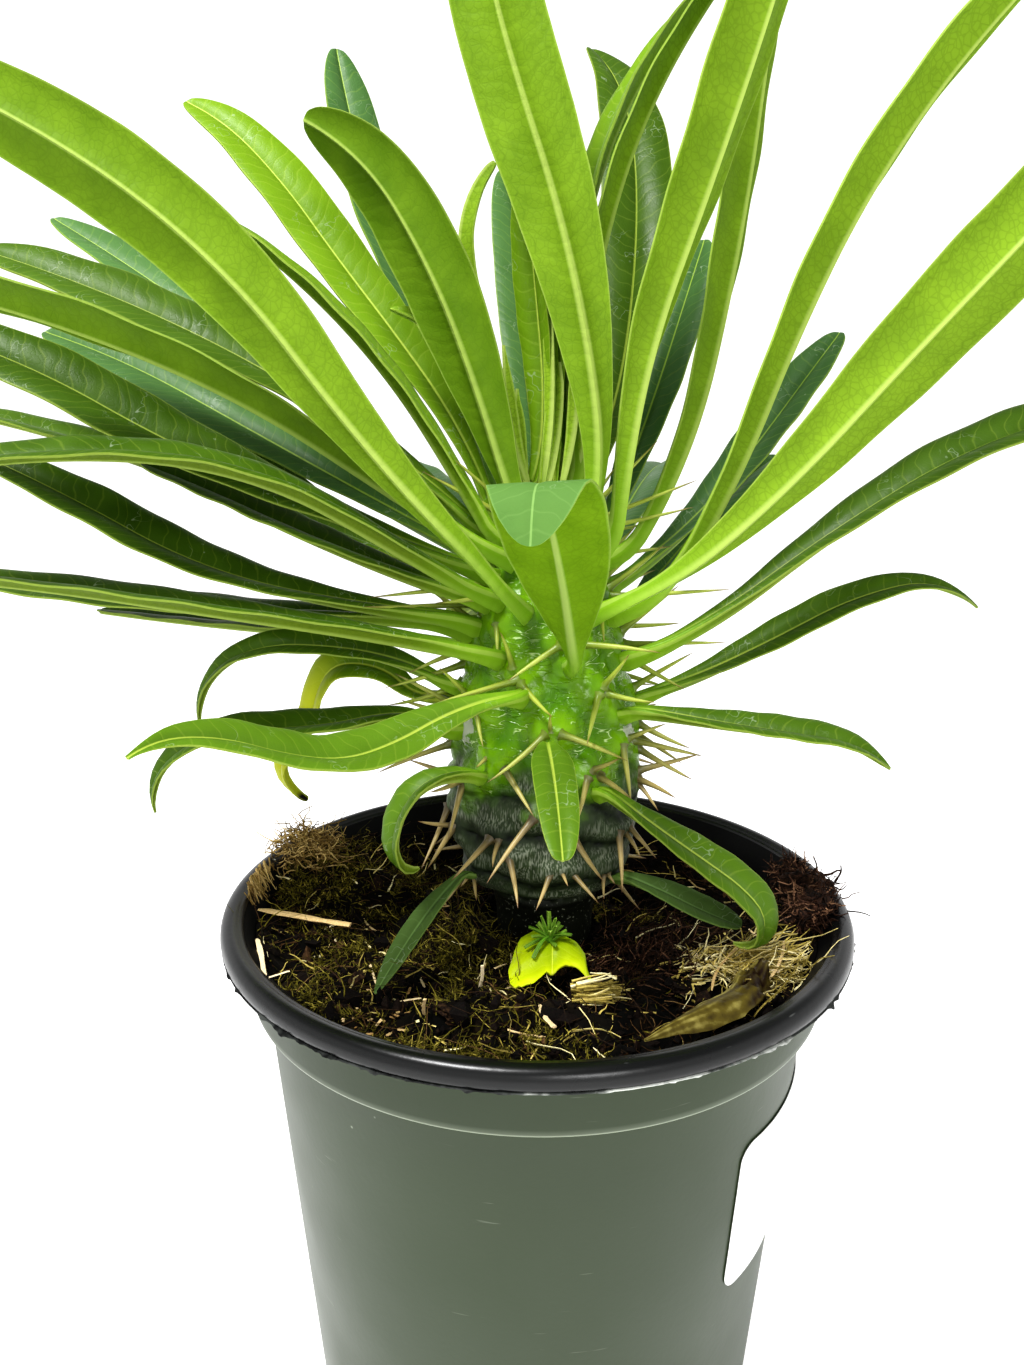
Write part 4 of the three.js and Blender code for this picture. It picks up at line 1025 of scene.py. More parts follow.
# The spines on the side that faces the front: where each leaves the trunk (azimuth and height),
# its heading, its pitch and its length.
FRONT_SPINES = (
    (181, 230, 204, -3, 30), (220, 229, 201, -5, 16), (181, 225, 203, 2, 30),
    (182, 220, 198, 38, 18), (200, 224, 237, 45, 15), (184, 221, 200, 11, 18),
    (225, 222, 275, -51, 9), (182, 214, 206, -17, 17), (182, 210, 206, -11, 22),
    (181, 205, 206, -11, 20), (204, 204, 217, 45, 11), (183, 199, 196, 31, 18),
    (184, 196, 197, 22, 15), (250, 210, 203, -10, 21), (221, 201, 284, -40, 10),
    (183, 189, 209, -13, 21), (183, 181, 195, 24, 11), (215, 184, 243, 5, 15),
    (233, 191, 242, -12, 5), (245, 213, 244, 57, 11), (279, 218, 206, -28, 15),
    (296, 218, 338, -1, 19), (322, 226, 275, -46, 10), (358, 227, 336, 7, 30),
    (358, 218, 341, 41, 19), (358, 218, 344, 45, 6), (359, 231, 341, 42, 12),
    (358, 229, 340, 39, 18), (357, 215, 336, 6, 26), (357, 212, 330, -22, 17),
    (357, 204, 342, 34, 18), (310, 208, 312, 48, 12), (313, 206, 323, 0, 13),
    (305, 206, 255, -35, 15), (253, 209, 302, -19, 14), (272, 199, 269, 52, 6),
    (269, 198, 212, -30, 18), (278, 198, 335, -14, 17), (328, 194, 331, 28, 11),
    (334, 193, 334, -5, 18), (355, 195, 330, -17, 15), (342, 190, 328, -20, 16),
    (337, 185, 342, 21, 16), (335, 183, 301, -1, 15), (321, 193, 280, -53, 15),
    (335, 182, 307, -34, 9), (215, 183, 257, -39, 16), (187, 173, 241, -45, 18),
    (196, 169, 211, 17, 10), (200, 169, 247, -22, 15), (246, 189, 301, -29, 15),
    (263, 178, 226, -37, 19), (237, 171, 233, -22, 15), (243, 171, 260, -27, 8),
    (249, 167, 281, -31, 14), (212, 158, 241, -22, 5), (217, 158, 279, -33, 7),
    (293, 187, 255, -32, 13), (297, 189, 309, 30, 10), (301, 187, 294, -1, 15),
    (315, 172, 272, -51, 15), (321, 171, 292, -22, 9), (325, 172, 301, -21, 12),
    (285, 173, 297, -21, 15), (307, 161, 268, -47, 6), (279, 164, 286, -17, 5),
    (286, 163, 307, -22, 10), (272, 163, 248, -30, 10), (310, 161, 293, -14, 4),
    (180, 246, 203, 42, 28), (181, 246, 201, 29, 30), (182, 246, 200, 30, 25),
    (357, 246, 334, 44, 31), (2, 242, 338, 14, 31), (357, 246, 337, 22, 34),
    (358, 246, 334, 52, 20),
)


@dataclass
class Blade:
    """Makes the meshes of leaf blades."""

    petiole_share: float = 0.1
    petiole_half: float = 1.5
    petiole_most: float = 0.3
    foot_flare: float = 0.2
    foot_tuck: float = 1.4
    stalk_half: float = 0.42
    stalk_length: float = 20
    tip_half: float = 0.5
    swell: float = 1.25
    rounding: float = 2.4
    straight: float = 4
    swing_share: float = 0.07
    steps: int = 160
    waves: float = 7
    wave_share: float = 0.012
    arch: float = 0.08
    recurve: float = 0.05
    thickness: float = 0.75
    rib_depth: float = 1.7
    row_spacing: float = 2.2
    columns: int = 8

    def half_width(self, leaf: Leaf, s: Array) -> Array:
        """Half the leaf's width.

        Args:
            leaf: the leaf.
            s: shares of its length.

        Returns:
            Millimetres at each share.
        """
        full = leaf.width / 2
        petiole = min(self.petiole_half, self.petiole_most * full)
        rise = held((s - self.petiole_share) / (leaf.widest - self.petiole_share))
        fall = held((s - leaf.widest) / (1 - leaf.widest))
        widening = petiole + (full - petiole) * np.sin(rise * np.pi / 2) ** self.swell
        ending = self.tip_half + (full - self.tip_half) * (1 - fall**self.rounding) ** leaf.pointed
        return np.where(s <= leaf.widest, widening, ending)

    def frames(self, leaf: Leaf, s: Array) -> tuple[Array, Array, Array]:
        """The midrib's frames.

        Args:
            leaf: the leaf.
            s: shares of its length.

        Returns:
            Unit vectors ahead, to the side and up at each share.
        """
        straight = min(self.straight / leaf.length, 0.1)
        t = np.maximum(0, (s - straight) / (1 - straight))
        blend = np.minimum(1, t / self.swing_share)
        swing = (leaf.az - leaf.heading[0] + 540) % 360 - 180
        heading = evenly(leaf.heading, t) + swing * (1 - blend)
        pitch = evenly(leaf.pitch, t) * blend + leaf.foot_pitch * (1 - blend)
        roll = np.radians(evenly(leaf.roll, t) * blend)[:, None]
        ahead = direction(heading, pitch)
        across = direction(heading + 90, np.zeros_like(heading))
        above = np.cross(ahead, across)
        side = across * np.cos(roll) + above * np.sin(roll)
        return ahead, side, above * np.cos(roll) - across * np.sin(roll)

    def course(self, leaf: Leaf, start: Array, shares: Array) -> tuple[Array, Array, Array, Array]:
        """The midrib and its frames.

        Args:
            leaf: the leaf.
            start: where its foot is, in millimetres.
            shares: the shares of its length that are wanted.

        Returns:
            Points, and unit vectors ahead, to the side and up, each N by 3.
        """
        grid = np.arange(self.steps + 1) / self.steps
        ahead = self.frames(leaf, grid)[0]
        walked = np.vstack([np.zeros(3), np.cumsum(ahead[:-1], 0)])
        walked = start + walked * (leaf.length / self.steps)
        points = np.stack([np.interp(shares, grid, walked[:, k]) for k in range(3)], 1)
        return (points, *self.frames(leaf, shares))

    def grow(self, shape: Shape, leaf: Leaf, start: Array, seed: int) -> None:
        """Adds the leaf's blade to a shape, with its upper and lower finish.

        Args:
            shape: what it is added to.
            leaf: the leaf.
            start: where its foot is, in millimetres.
            seed: sets its margin's unevenness.
        """
        rows = max(14, round(leaf.length / self.row_spacing))
        s = np.unique(np.concatenate([np.linspace(0, 1, rows), [0.975, 0.985, 0.993, 0.997]]))
        points, ahead, side, up = self.course(leaf, start, s)
        share = np.abs(np.arange(-self.columns, self.columns + 1) / self.columns) ** 1.35
        v = share * np.sign(np.arange(-self.columns, self.columns + 1))
        length = s * leaf.length
        stalk = np.exp(-length / (self.stalk_length * leaf.length / 150))
        stalk = stalk * held((leaf.width - 6) / 8)
        half = self.half_width(leaf, s) + stalk * (
            self.stalk_half + self.foot_flare * np.exp(-length / 4)
        )
        here = np.stack([length, np.full_like(s, 31.7 * seed), np.zeros_like(s)], 1)
        ragged = [
            1 + 0.016 * UNEVEN.at(here + [0, shift, 0], 13, 3) * np.minimum(1, length / 25)
            for shift in (0, 9)
        ]
        edge = np.where(v > 0, *(half[:, None] * r[:, None] for r in ragged))
        fold = math.radians(leaf.fold)
        arch = min(1.0, leaf.fold / 10)
        spread = (half / (leaf.width / 2))[:, None]
        wave = leaf.width * self.wave_share * spread
        wave = wave * np.sin(2 * np.pi * self.waves * s[:, None] + np.sign(v))
        x = edge * v
        lift = (
            edge * share * math.sin(fold)
            + wave * share**2
            + edge * arch * (self.arch * np.sin(np.pi * share) - self.recurve * share**8)
        )
        groove = 0.3 * np.exp(-((x / 0.8) ** 2)) * np.minimum(1, half / 3)[:, None]
        round_off = np.sqrt(held(1 - share**2)) * (half * stalk)[:, None]
        top = lift - groove * (1 - stalk)[:, None] + 0.75 * round_off
        rib_width = (1.75 - 1.2 * s)[:, None] * np.minimum(1, half / 1.6)[:, None]
        rib = self.rib_depth * (1 - 0.75 * s)[:, None] * np.minimum(1, half / 1.6)[:, None]
        body = self.thickness * (1 - 0.45 * share**3) * np.minimum(1, 0.35 + half / 3)[:, None]
        low = lift - body - rib * np.exp(-((x / rib_width) ** 2)) - 0.7 * round_off
        flat = x * math.cos(fold)
        faces = [
            points[:, None] + side[:, None] * flat[..., None] + up[:, None] * high[..., None]
            for high in (top, low)
        ]
        ring = np.concatenate([faces[0], faces[1][:, ::-1]], 1)
        # the foot narrows as it enters the bark, so its end never shows
        tuck = self.foot_tuck * min(1.0, leaf.width / 12)
        ring[0] = points[0] + (ring[0] - points[0]) * 0.5 - tuck * ahead[0]
        count = 2 * len(v)
        quads, _ = rings(len(s), count)
        k = np.arange(len(v) - 1)
        cap = np.stack([k, k + 1, count - 2 - k, count - 1 - k], -1)
        ends = np.concatenate([cap[:, ::-1], cap + (len(s) - 1) * count])
        column = np.tile(np.arange(count), len(s) - 1)
        finish = np.concatenate([(column >= len(v) - 1).astype(int), np.ones(len(ends), int)])
        scar = np.zeros_like(x)
        for far, out, long, wide in leaf.scars:
            away = ((length[:, None] - far) / long) ** 2 + ((x - out) / wide) ** 2
            scar = np.maximum(scar, held(1.6 - away))
        facts = {
            "across": x, "along": length[:, None], "reach": s[:, None], "rim": share[None],
            "tone": (leaf.tone - leaf.deepens * s)[:, None], "scar": scar,
        }
        both = {name: np.broadcast_to(value, x.shape) for name, value in facts.items()}
        both = {name: np.hstack([value, value[:, ::-1]]) for name, value in both.items()}
        shape.add(ring, quads, ends, finish=finish, **both)


# ---- trunk and crown


@dataclass
class Trunk:
    """The swollen stem, with a tubercle under each leaf and spines in threes."""

    axis: Pair = (2.5, 3)
    profile: tuple[Pair, ...] = (
        (120, 10), (130, 12), (139, 12.5), (149, 13.2), (152.5, 15), (155, 18.8), (160, 21.5),
        (165, 22.5), (179, 23.5), (200, 20.5), (213, 17.5), (226, 14), (236, 10), (243, 5.5),
    )
    sides: int = 220
    rows: int = 200
    tubercle_first: float = 152
    tubercle_last: float = 214
    tubercle_rise: float = 1.8
    tubercle_turn: float = 137.5
    tubercle_phase: float = 20
    tubercle_height: float = 2.6
    tubercle_spread: float = 4.6
    clear_of_leaf: float = 8
    start: float = 142
    fold_spacing: float = 9.5
    fold_depth: float = 1.9
    fade_in: float = 10
    fade_out: float = 8
    foot_depth: float = 2.2
    splay: float = 62
    full_at: float = 230
    low_pitch: float = -42
    high_pitch: float = 18
    low_length: float = 15
    high_length: float = 21
    third_share: float = 0.7
    third_lift: float = 30
    wander: float = 24
    spine_sink: float = 0.6
    spine_offset: float = 3.4
    pair_up: float = 1.2
    third_up: float = 3.6
    spine_clearance: float = 1.5
    above_soil: float = 2.5
    heart_radius: float = 9
    heart_drop: float = 3
    spine_radius: float = 0.9
    spine_seed: int = 42
    back_low: float = 10
    back_high: float = 170
    dead_skin: tuple[Triple, ...] = ((205, 197, 5.5), (335, 196, 4))
    far_away: float = 1000
    blade: Blade = field(default_factory=Blade)

    def __post_init__(self) -> None:
        """Lists the tubercles: each leaf's, then those of the leaves that have dropped."""
        self.top = self.profile[-1][0]
        places = [(leaf.az, leaf.z) for leaf in LEAVES]
        count = math.floor((self.tubercle_last - self.tubercle_first) / self.tubercle_rise)
        for k in range(count + 1):
            z = self.tubercle_first + k * self.tubercle_rise
            az = (self.tubercle_phase + k * self.tubercle_turn) % 360
            near = (self.distance(leaf.az, leaf.z, az, z) < self.clear_of_leaf for leaf in LEAVES)
            if not any(near):
                places.append((az, z))
        self.tubercles = places
        self.swellings = [(leaf.az, leaf.z) for leaf in LEAVES]
        self.swellings += [place for place in places if self.at_back(place[0])]
        self.swellings += [(az, z) for az, z, *_ in FRONT_SPINES if z < self.top - 12]

    def at_back(self, az: float) -> bool:
        """Whether a place is on the side whose spines are drawn from the stream."""
        return self.back_low < az % 360 < self.back_high

    def distance(self, az: float, z: float, other_az: Numbers, other_z: Numbers) -> Array:
        """Distance between places on the trunk, measured round it.

        Args:
            az: one place's azimuth in degrees.
            z: its height.
            other_az: the others' azimuths.
            other_z: their heights.

        Returns:
            Millimetres.
        """
        swing = np.abs((az - other_az + 540) % 360 - 180)
        radius = along(self.profile, (z + other_z) / 2)
        return np.hypot(np.radians(swing) * radius, z - other_z)

    def swell(self, az: Array, z: Array) -> Array:
        """How far up a tubercle each place is.

        Args:
            az: azimuths in degrees.
            z: heights.

        Returns:
            Shares from 0 to 1.
        """
        swell = np.zeros_like(az, dtype=float)
        for place in self.swellings:
            away = self.distance(*place, az, z)
            swell = np.maximum(swell, np.exp(-((away / self.tubercle_spread) ** 2)))
        fade = np.minimum(
            held((z - self.start) / self.fade_in), held((self.top - z) / self.fade_out)
        )
        return swell * fade

    def radius(self, az: Numbers, z: Numbers) -> Array:
        """The trunk's radius with its tubercles."""
        az, z = np.asarray(az, float), np.asarray(z, float)
        return along(self.profile, z) + self.tubercle_height * self.swell(az, z)

    def on(self, az: float, z: float, out: float = 0) -> Array:
        """A point on the trunk's surface, or some millimetres off it."""
        reach = self.radius(az, z) + out
        return np.array([*self.axis, z]) + reach * direction(az, 0)

    def foot(self, leaf: Leaf) -> Array:
        """Where a leaf's foot starts, inside its tubercle."""
        return self.on(leaf.az, leaf.z) - self.foot_depth * direction(leaf.az, leaf.foot_pitch)

    def bark(self) -> None:
        """Makes the stem: tubercles, creases low down and small swellings all over."""
        z = np.linspace(self.profile[0][0], self.top, self.rows)
        az = np.linspace(0, 360, self.sides, endpoint=False)
        all_az, all_z = np.meshgrid(az, z)
        swell = self.swell(all_az, all_z)
        outward = direction(all_az, 0)
        radius = along(self.profile, all_z) + self.tubercle_height * swell
        flat = outward * radius[..., None] + all_z[..., None] * [0, 0, 1]
        old = held((192 - all_z) / 22) * held((all_z - 144) / 6)
        bend, lumps = (
            UNEVEN.at(flat + shift, size, layers) for shift, size, layers in ((0, 20, 2), (9, 5, 3))
        )
        folds = np.abs(np.sin((all_z + 4 * bend) * np.pi / self.fold_spacing)) ** 0.6
        dead = np.zeros_like(all_z)
        for dead_az, dead_z, reach in self.dead_skin:
            away = self.distance(dead_az, dead_z, all_az, all_z)
            dead = np.maximum(dead, np.clip(1.4 - away / reach, 0, 0.62))
        creases = np.sin((all_z + 2.6 * bend) * 2 * np.pi / 2.7)
        below = np.full(all_z.shape, self.far_away)
        for place in self.swellings:
            away = self.distance(*place, all_az, all_z)
            below = np.minimum(below, np.where(all_z < place[1] + 2, away, self.far_away))
        # skin drawn into rings under each tubercle, as it swells
        drawn = np.sin(below * 2 * np.pi / 2.6) * np.exp(-((below - 6.5) ** 2) / 12)
        radius = (
            radius
            + old * (self.fold_depth * (folds - 0.75) + 0.13 * creases) * (1 - 0.5 * swell)
            + (1 - old) * 0.2 * drawn
            + 0.25 * lumps * np.clip((all_z - 150) / 10, 0.2, 1)
        )
        points = outward * radius[..., None] + all_z[..., None] * [0, 0, 1]
        points[..., :2] += self.axis
        shape = Shape()
        shape.add(
            points, *rings(self.rows, self.sides), height=all_z, swell=swell, crest=folds,
            below=below, dead=dead,
        )
        shape.piece("trunk_bark", [BarkFinish().build()], ["trunk"])

    def keeps_clear(
        self, root: Array, tip: Array, courses: Sequence[tuple], litter: "Litter"
    ) -> bool:
        """Whether a spine keeps clear of the leaves, the seedling and the soil.

        Args:
            root: its root.
            tip: its point.
            courses: the leaves' midribs, and how far to stay off them.
            litter: what holds the seedling.

        Returns:
            True where it does.
        """
        for share in np.arange(1, 7) / 6:
            p = root + (tip - root) * share
            if p[2] < litter.mix.height(p[:1], p[1:2])[0] + self.above_soil:
                return False
            from_axis = np.hypot(*(p[:2] - self.axis))
            if p[2] > self.top - self.heart_drop and from_axis < self.heart_radius:
                return False
            if np.linalg.norm(p - litter.seedling_foot()) < litter.stem + litter.leaflet:
                return False
            for middle, reach in courses:
                if np.any(np.linalg.norm(middle - p, axis=1) < reach):
                    return False
        return True

    def spines(self, litter: "Litter") -> None:
        """Makes the spines: to each tubercle a splayed pair and a shorter one.

        Args:
            litter: what they keep clear of.
        """
        stream = NumberStream(self.spine_seed)
        bending = np.random.default_rng(self.spine_seed)
        shares = np.linspace(0, 1, 41)
        courses = [
            (
                self.blade.course(leaf, self.foot(leaf), shares)[0],
                self.blade.half_width(leaf, shares) + self.spine_clearance,
            )
            for leaf in LEAVES
        ]
        shape = Shape()
        for az, z in self.tubercles:
            first = self.tubercle_first
            rise = min(1.0, max(0.0, (z - first) / (self.full_at - first)))
            pitch = self.low_pitch + (self.high_pitch - self.low_pitch) * rise
            length = self.low_length + (self.high_length - self.low_length) * rise
            for side in (-1, 1, 0):
                jitter = (stream.next() - 0.5) * self.wander
                lean = (stream.next() - 0.5) * self.wander + (0 if side else self.third_lift)
                beside = az + math.degrees(side * self.spine_offset / self.radius(az, z))
                up = self.third_up if side == 0 else self.pair_up
                ahead = direction(az + side * self.splay + jitter, pitch + lean)
                share = self.third_share if side == 0 else 1
                reach = length * share * (0.85 + 0.3 * stream.next())
                root = self.on(beside, z + up, -self.spine_sink)
                if self.at_back(az) and self.keeps_clear(
                    root, root + ahead * reach, courses, litter
                ):
                    self.spine(shape, bending, root, ahead * reach)
        for az, z, heading, pitch, reach in FRONT_SPINES:
            root = self.on(az, min(z, self.top), -self.spine_sink)
            self.spine(shape, bending, root, reach * direction(heading, pitch))
        shape.piece("trunk_spines", [SpineFinish().build()])

    def spine(self, shape: Shape, bending: Random, root: Array, way: Array) -> None:
        """Adds one spine, slightly bent and stout at its root.

        Args:
            shape: what it is added to.
            bending: where its bend comes from.
            root: its root, just under the bark.
            way: from its root to its point.
        """
        sides = 8
        t = np.array([0, 0.04, 0.1, 0.22, 0.4, 0.6, 0.8, 0.93, 1.0])
        width = np.array([1.9, 1.3, 1.0, 0.84, 0.71, 0.56, 0.37, 0.17, 0.03])
        turn = np.linspace(0, 2 * np.pi, sides, endpoint=False)[:, None]
        reach = float(np.linalg.norm(way))
        ahead = way / reach
        across = unit(np.cross(ahead, [0.2, 0.3, 0.9]))
        above = np.cross(ahead, across)
        sway = (across * bending.normal() + above * bending.normal()) * 0.035
        middle = root + reach * (t[:, None] * ahead + (t * (1 - t))[:, None] * sway * 2)
        stout = self.spine_radius * min(1.0, 0.45 + reach / 26)
        ring = middle[:, None] + stout * width[:, None, None] * (
            across * np.cos(turn) + above * np.sin(turn)
        )
        shape.add(
            ring, *rings(len(t), sides), share=np.repeat(t, sides), age=held((203 - root[2]) / 22)
        )


@dataclass
class Crown:
    """All the leaves, each a piece of its own, and the growing tip."""

    trunk: Trunk
    core_radius: float = 5.2
    core_height: float = 16
    leaf_circle: float = 2.3
    leaf_lift: float = 4
    clearance: float = 0.3

    def __post_init__(self) -> None:
        """Builds both finishes of every kind of leaf once."""
        self.finishes = {kind: [kind.value[1].build(side) for side in Side] for kind in LeafKind}

    def leaves(self) -> None:
        """Makes the leaves on the trunk."""
        for number, leaf in enumerate(LEAVES, 1):
            shape = Shape()
            marked = replace(leaf, scars=SCARS.get(number, ()))
            self.trunk.blade.grow(shape, marked, self.trunk.foot(leaf), number)
            shape.piece(
                f"leaf_blade_{number:02d}", self.finishes[leaf.kind], [f"leaf_{number:02d}"]
            )

    def growing_tip(self) -> None:
        """Makes the narrow cone at the top and the upright leaves on it."""
        trunk = self.trunk
        base = trunk.top + self.clearance
        shape = Shape()
        outline = ((1.0, 0.0), (1.08, 0.15), (1.0, 0.35), (0.85, 0.55), (0.6, 0.8), (0.3, 1.0))
        profile = [(self.core_radius * r, base + self.core_height * h) for r, h in outline]
        shape.add(
            turned(profile, 28, trunk.axis), *rings(len(profile), 28), **PLAIN_BLADE, tone=0.35
        )
        for number, leaf in enumerate(TIP_LEAVES, 1):
            start = np.array([*trunk.axis, base + self.leaf_lift])
            start = start + self.leaf_circle * direction(leaf.az, 0)
            trunk.blade.grow(shape, leaf, start, 60 + number)
        shape.piece("growing_tip", self.finishes[YOUNG], ["heart"])


# ---- pot and label


@dataclass
class NurseryPot:
    """The round tub: a rolled black rim, a collar, and a green wall that tapers."""

    height: float = 150
    rim_depth: float = 4.8
    rim_inner: float = 74.4
    collar_radius: float = 73.2
    collar_depth: float = 19.6
    wall_radius: float = 69.7
    foot_radius: float = 59
    wall: float = 1.3
    floor: float = 2
    sides: int = 192
    hole_count: int = 6
    hole_radius: float = 4.5
    hole_circle: float = 44

    @property
    def collar_foot(self) -> float:
        """Height of the collar's lower edge."""
        return self.height - self.collar_depth

    def outside(self, z: Numbers) -> Array:
        """Radius of the wall's outside below the collar."""
        return along([(0, self.foot_radius), (self.collar_foot, self.wall_radius)], z)

    def inside(self) -> list[Pair]:
        """The inside of the tub.

        Returns:
            (radius, height) points from the rim down to the floor.
        """
        foot, wall = self.collar_foot, self.wall
        return [
            (self.rim_inner, self.height - 1.6), (self.collar_radius - wall, self.height - 4),
            (self.collar_radius - 0.9 - wall, foot + 0.4),
            (float(self.outside(foot)) - wall - 0.1, foot - wall),
            (float(self.outside(self.floor)) - wall, self.floor),
        ]

    def shell(self) -> None:
        """Makes the tub with its drainage holes."""
        h, foot = self.height, self.collar_foot
        green = [
            (0.5, 0), (self.foot_radius - 3, 0), (self.foot_radius - 1.1, 0.05),
            (self.foot_radius - 0.35, 0.4), (self.foot_radius + 0.1, 1.2),
        ]
        green += [(float(self.outside(z)), z) for z in np.linspace(12, foot - 1.2, 10)]
        step = [
            (self.wall_radius, foot - 0.5), (self.wall_radius + 0.15, foot - 0.2),
            (self.collar_radius - 0.9, foot + 0.05), (self.collar_radius - 0.3, foot + 0.25),
            (self.collar_radius - 0.05, foot + 0.8),
        ]
        collar = [(self.collar_radius, z) for z in np.linspace(foot + 2, h - 5.6, 5)]
        roll = [
            (73.9, h - 4.95), (76.5, h - 4.8), (79.0, h - 4.8), (79.6, h - 4.55), (79.9, h - 4.0),
            (80.0, h - 3.2), (79.9, h - 2.3), (79.6, h - 1.4), (79.1, h - 0.65), (78.3, h - 0.15),
            (77.5, h), (76.7, h - 0.1), (76.0, h - 0.45), (75.5, h - 0.65), (75.0, h - 0.75),
            (74.6, h - 1.0),
        ]
        profile = [*green, *step, *collar, *roll, *self.inside(), (0.5, self.floor)]
        black = len(green) + len(step) + len(collar)
        dull = black + len(roll)
        # painted highlight: the collar's lower rounded edge is painted as a pale line
        pale = {len(green) + 2: 1.0, len(green) + 3: 0.9, len(green) + 4: 0.15}
        row = np.repeat(np.arange(len(profile) - 1), self.sides)
        shape = Shape()
        shape.add(
            turned(profile, self.sides), *rings(len(profile), self.sides),
            finish=np.append((row >= black).astype(int) + (row >= dull), [0, 2]),
            edge=np.repeat([pale.get(k, 0.0) for k in range(len(profile))], self.sides),
        )
        plastic = MouldedPlastic(
            "moulded_green_polypropylene", "#263319", "#aab09f", 0.42, 0.2, "#98a18c", 0.4
        )
        black_plastic = MouldedPlastic(
            "moulded_black_polypropylene", "#0b0c0c", "#b9bcb8", 0.27, 0.7, "#0b0c0c", 0.36
        )
        # painted shade: the inside is painted darker and duller than the rim, as little light
        # reaches it
        inside = MouldedPlastic(
            "shaded_black_polypropylene", "#060606", "#5c5e5a", 0.6, 0.7, "#060606", 0.12
        )
        pot = shape.piece(
            "pot_shell", [finish.build() for finish in (plastic, black_plastic, inside)],
            ["pot"],
        )
        self.drill(pot)

    def drill(self, pot: bpy.types.Object) -> None:
        """Cuts the drainage holes through the floor.

        Args:
            pot: the tub.
        """
        drills = Shape()
        for k in range(self.hole_count):
            centre = self.hole_circle * direction(k * 360 / self.hole_count, 0)
            profile = [(self.hole_radius, -3), (self.hole_radius, self.floor + 3)]
            drills.add(turned(profile, 32, centre[:2]), *rings(2, 32), edge=0.0)
        cutter = stand("drill", drills.mesh("drill", pot.data.materials[:1]))
        cut = pot.modifiers.new("drainage", "BOOLEAN")
        cut.operation, cut.object, cut.solver = "DIFFERENCE", cutter, "EXACT"
        graph = bpy.context.evaluated_depsgraph_get()
        mesh = bpy.data.meshes.new_from_object(pot.evaluated_get(graph))
        pot.modifiers.clear()
        pot.data = mesh
        bpy.data.objects.remove(cutter)

    def flash(self) -> None:
        """Makes the ragged lip that the mould left under the rim."""
        sides = 900
        turn = np.linspace(0, 360, sides, endpoint=False)
        around = direction(turn, 0)
        rough = UNEVEN.at(around * 80, 3.2, 4)
        jut = 0.12 + 0.75 * held(rough) ** 1.5
        bottom = self.height - self.rim_depth
        section = [
            (79.2 + 0 * jut, bottom + 0.25 + 0 * jut),
            (79.75 + jut, bottom - 0.05 - 0.8 * jut * np.abs(UNEVEN.at(around * 80, 2, 2))),
            (79.1 + 0.6 * jut, bottom - 0.3 - 0.5 * jut),
        ]
        ring = np.stack(
            [around * r[:, None] + np.stack([0 * z, 0 * z, z], 1) for r, z in section], 1
        )
        first = np.arange(sides)[:, None] * 3
        after = (first + 3) % (3 * sides)
        k, n = np.arange(3), (np.arange(3) + 1) % 3
        quads = np.stack([first + k, first + n, after + n, after + k], -1)
        # painted highlight: the lip is painted whitish only round the front, and dark elsewhere,
        # with random patches
        front = held(1.1 - np.abs((turn - 295 + 540) % 360 - 180) / 45)
        tone = held(0.08 + 0.75 * front + 0.4 * UNEVEN.at(around * 80, 9, 3))
        shape = Shape()
        shape.add(ring, quads, tone=np.repeat(tone, 3))
        shape.piece("rim_flash", [FLASH.build()], sharp=30)


@dataclass
class Sticker:
    """The bare label on the wall, a rounded rectangle."""

    pot: NurseryPot
    top: float = 111
    bottom: float = 70
    start_azimuth: float = -47
    sweep: float = 48
    corner: float = 4.5
    thickness: float = 0.18
    columns: int = 60
    rows: int = 26

    def paper(self) -> None:
        """Makes the label."""
        reach = float(self.pot.outside((self.top + self.bottom) / 2))
        corner_sweep = math.degrees(self.corner / reach)
        t = 0.5 - 0.5 * np.cos(np.linspace(0, np.pi, self.columns))
        degrees = t * self.sweep
        from_end = np.minimum(degrees, self.sweep - degrees) / corner_sweep
        short = held(1 - from_end)
        cut = self.corner * (1 - np.sqrt(1 - short**2))
        share = np.linspace(0, 1, self.rows)[:, None]
        z = self.bottom + cut + (self.top - self.bottom - 2 * cut) * share
        outward = direction(self.start_azimuth + degrees, 0)[None]
        grid = outward * (self.pot.outside(z) + 0.1 + self.thickness)[..., None]
        grid = grid + z[..., None] * [0, 0, 1]
        points, quads = plate(grid, self.thickness)
        shape = Shape()
        shape.add(points, quads)
        shape.piece("sticker", [CoatedPaper().build()], ["label"])


# ---- potting mix


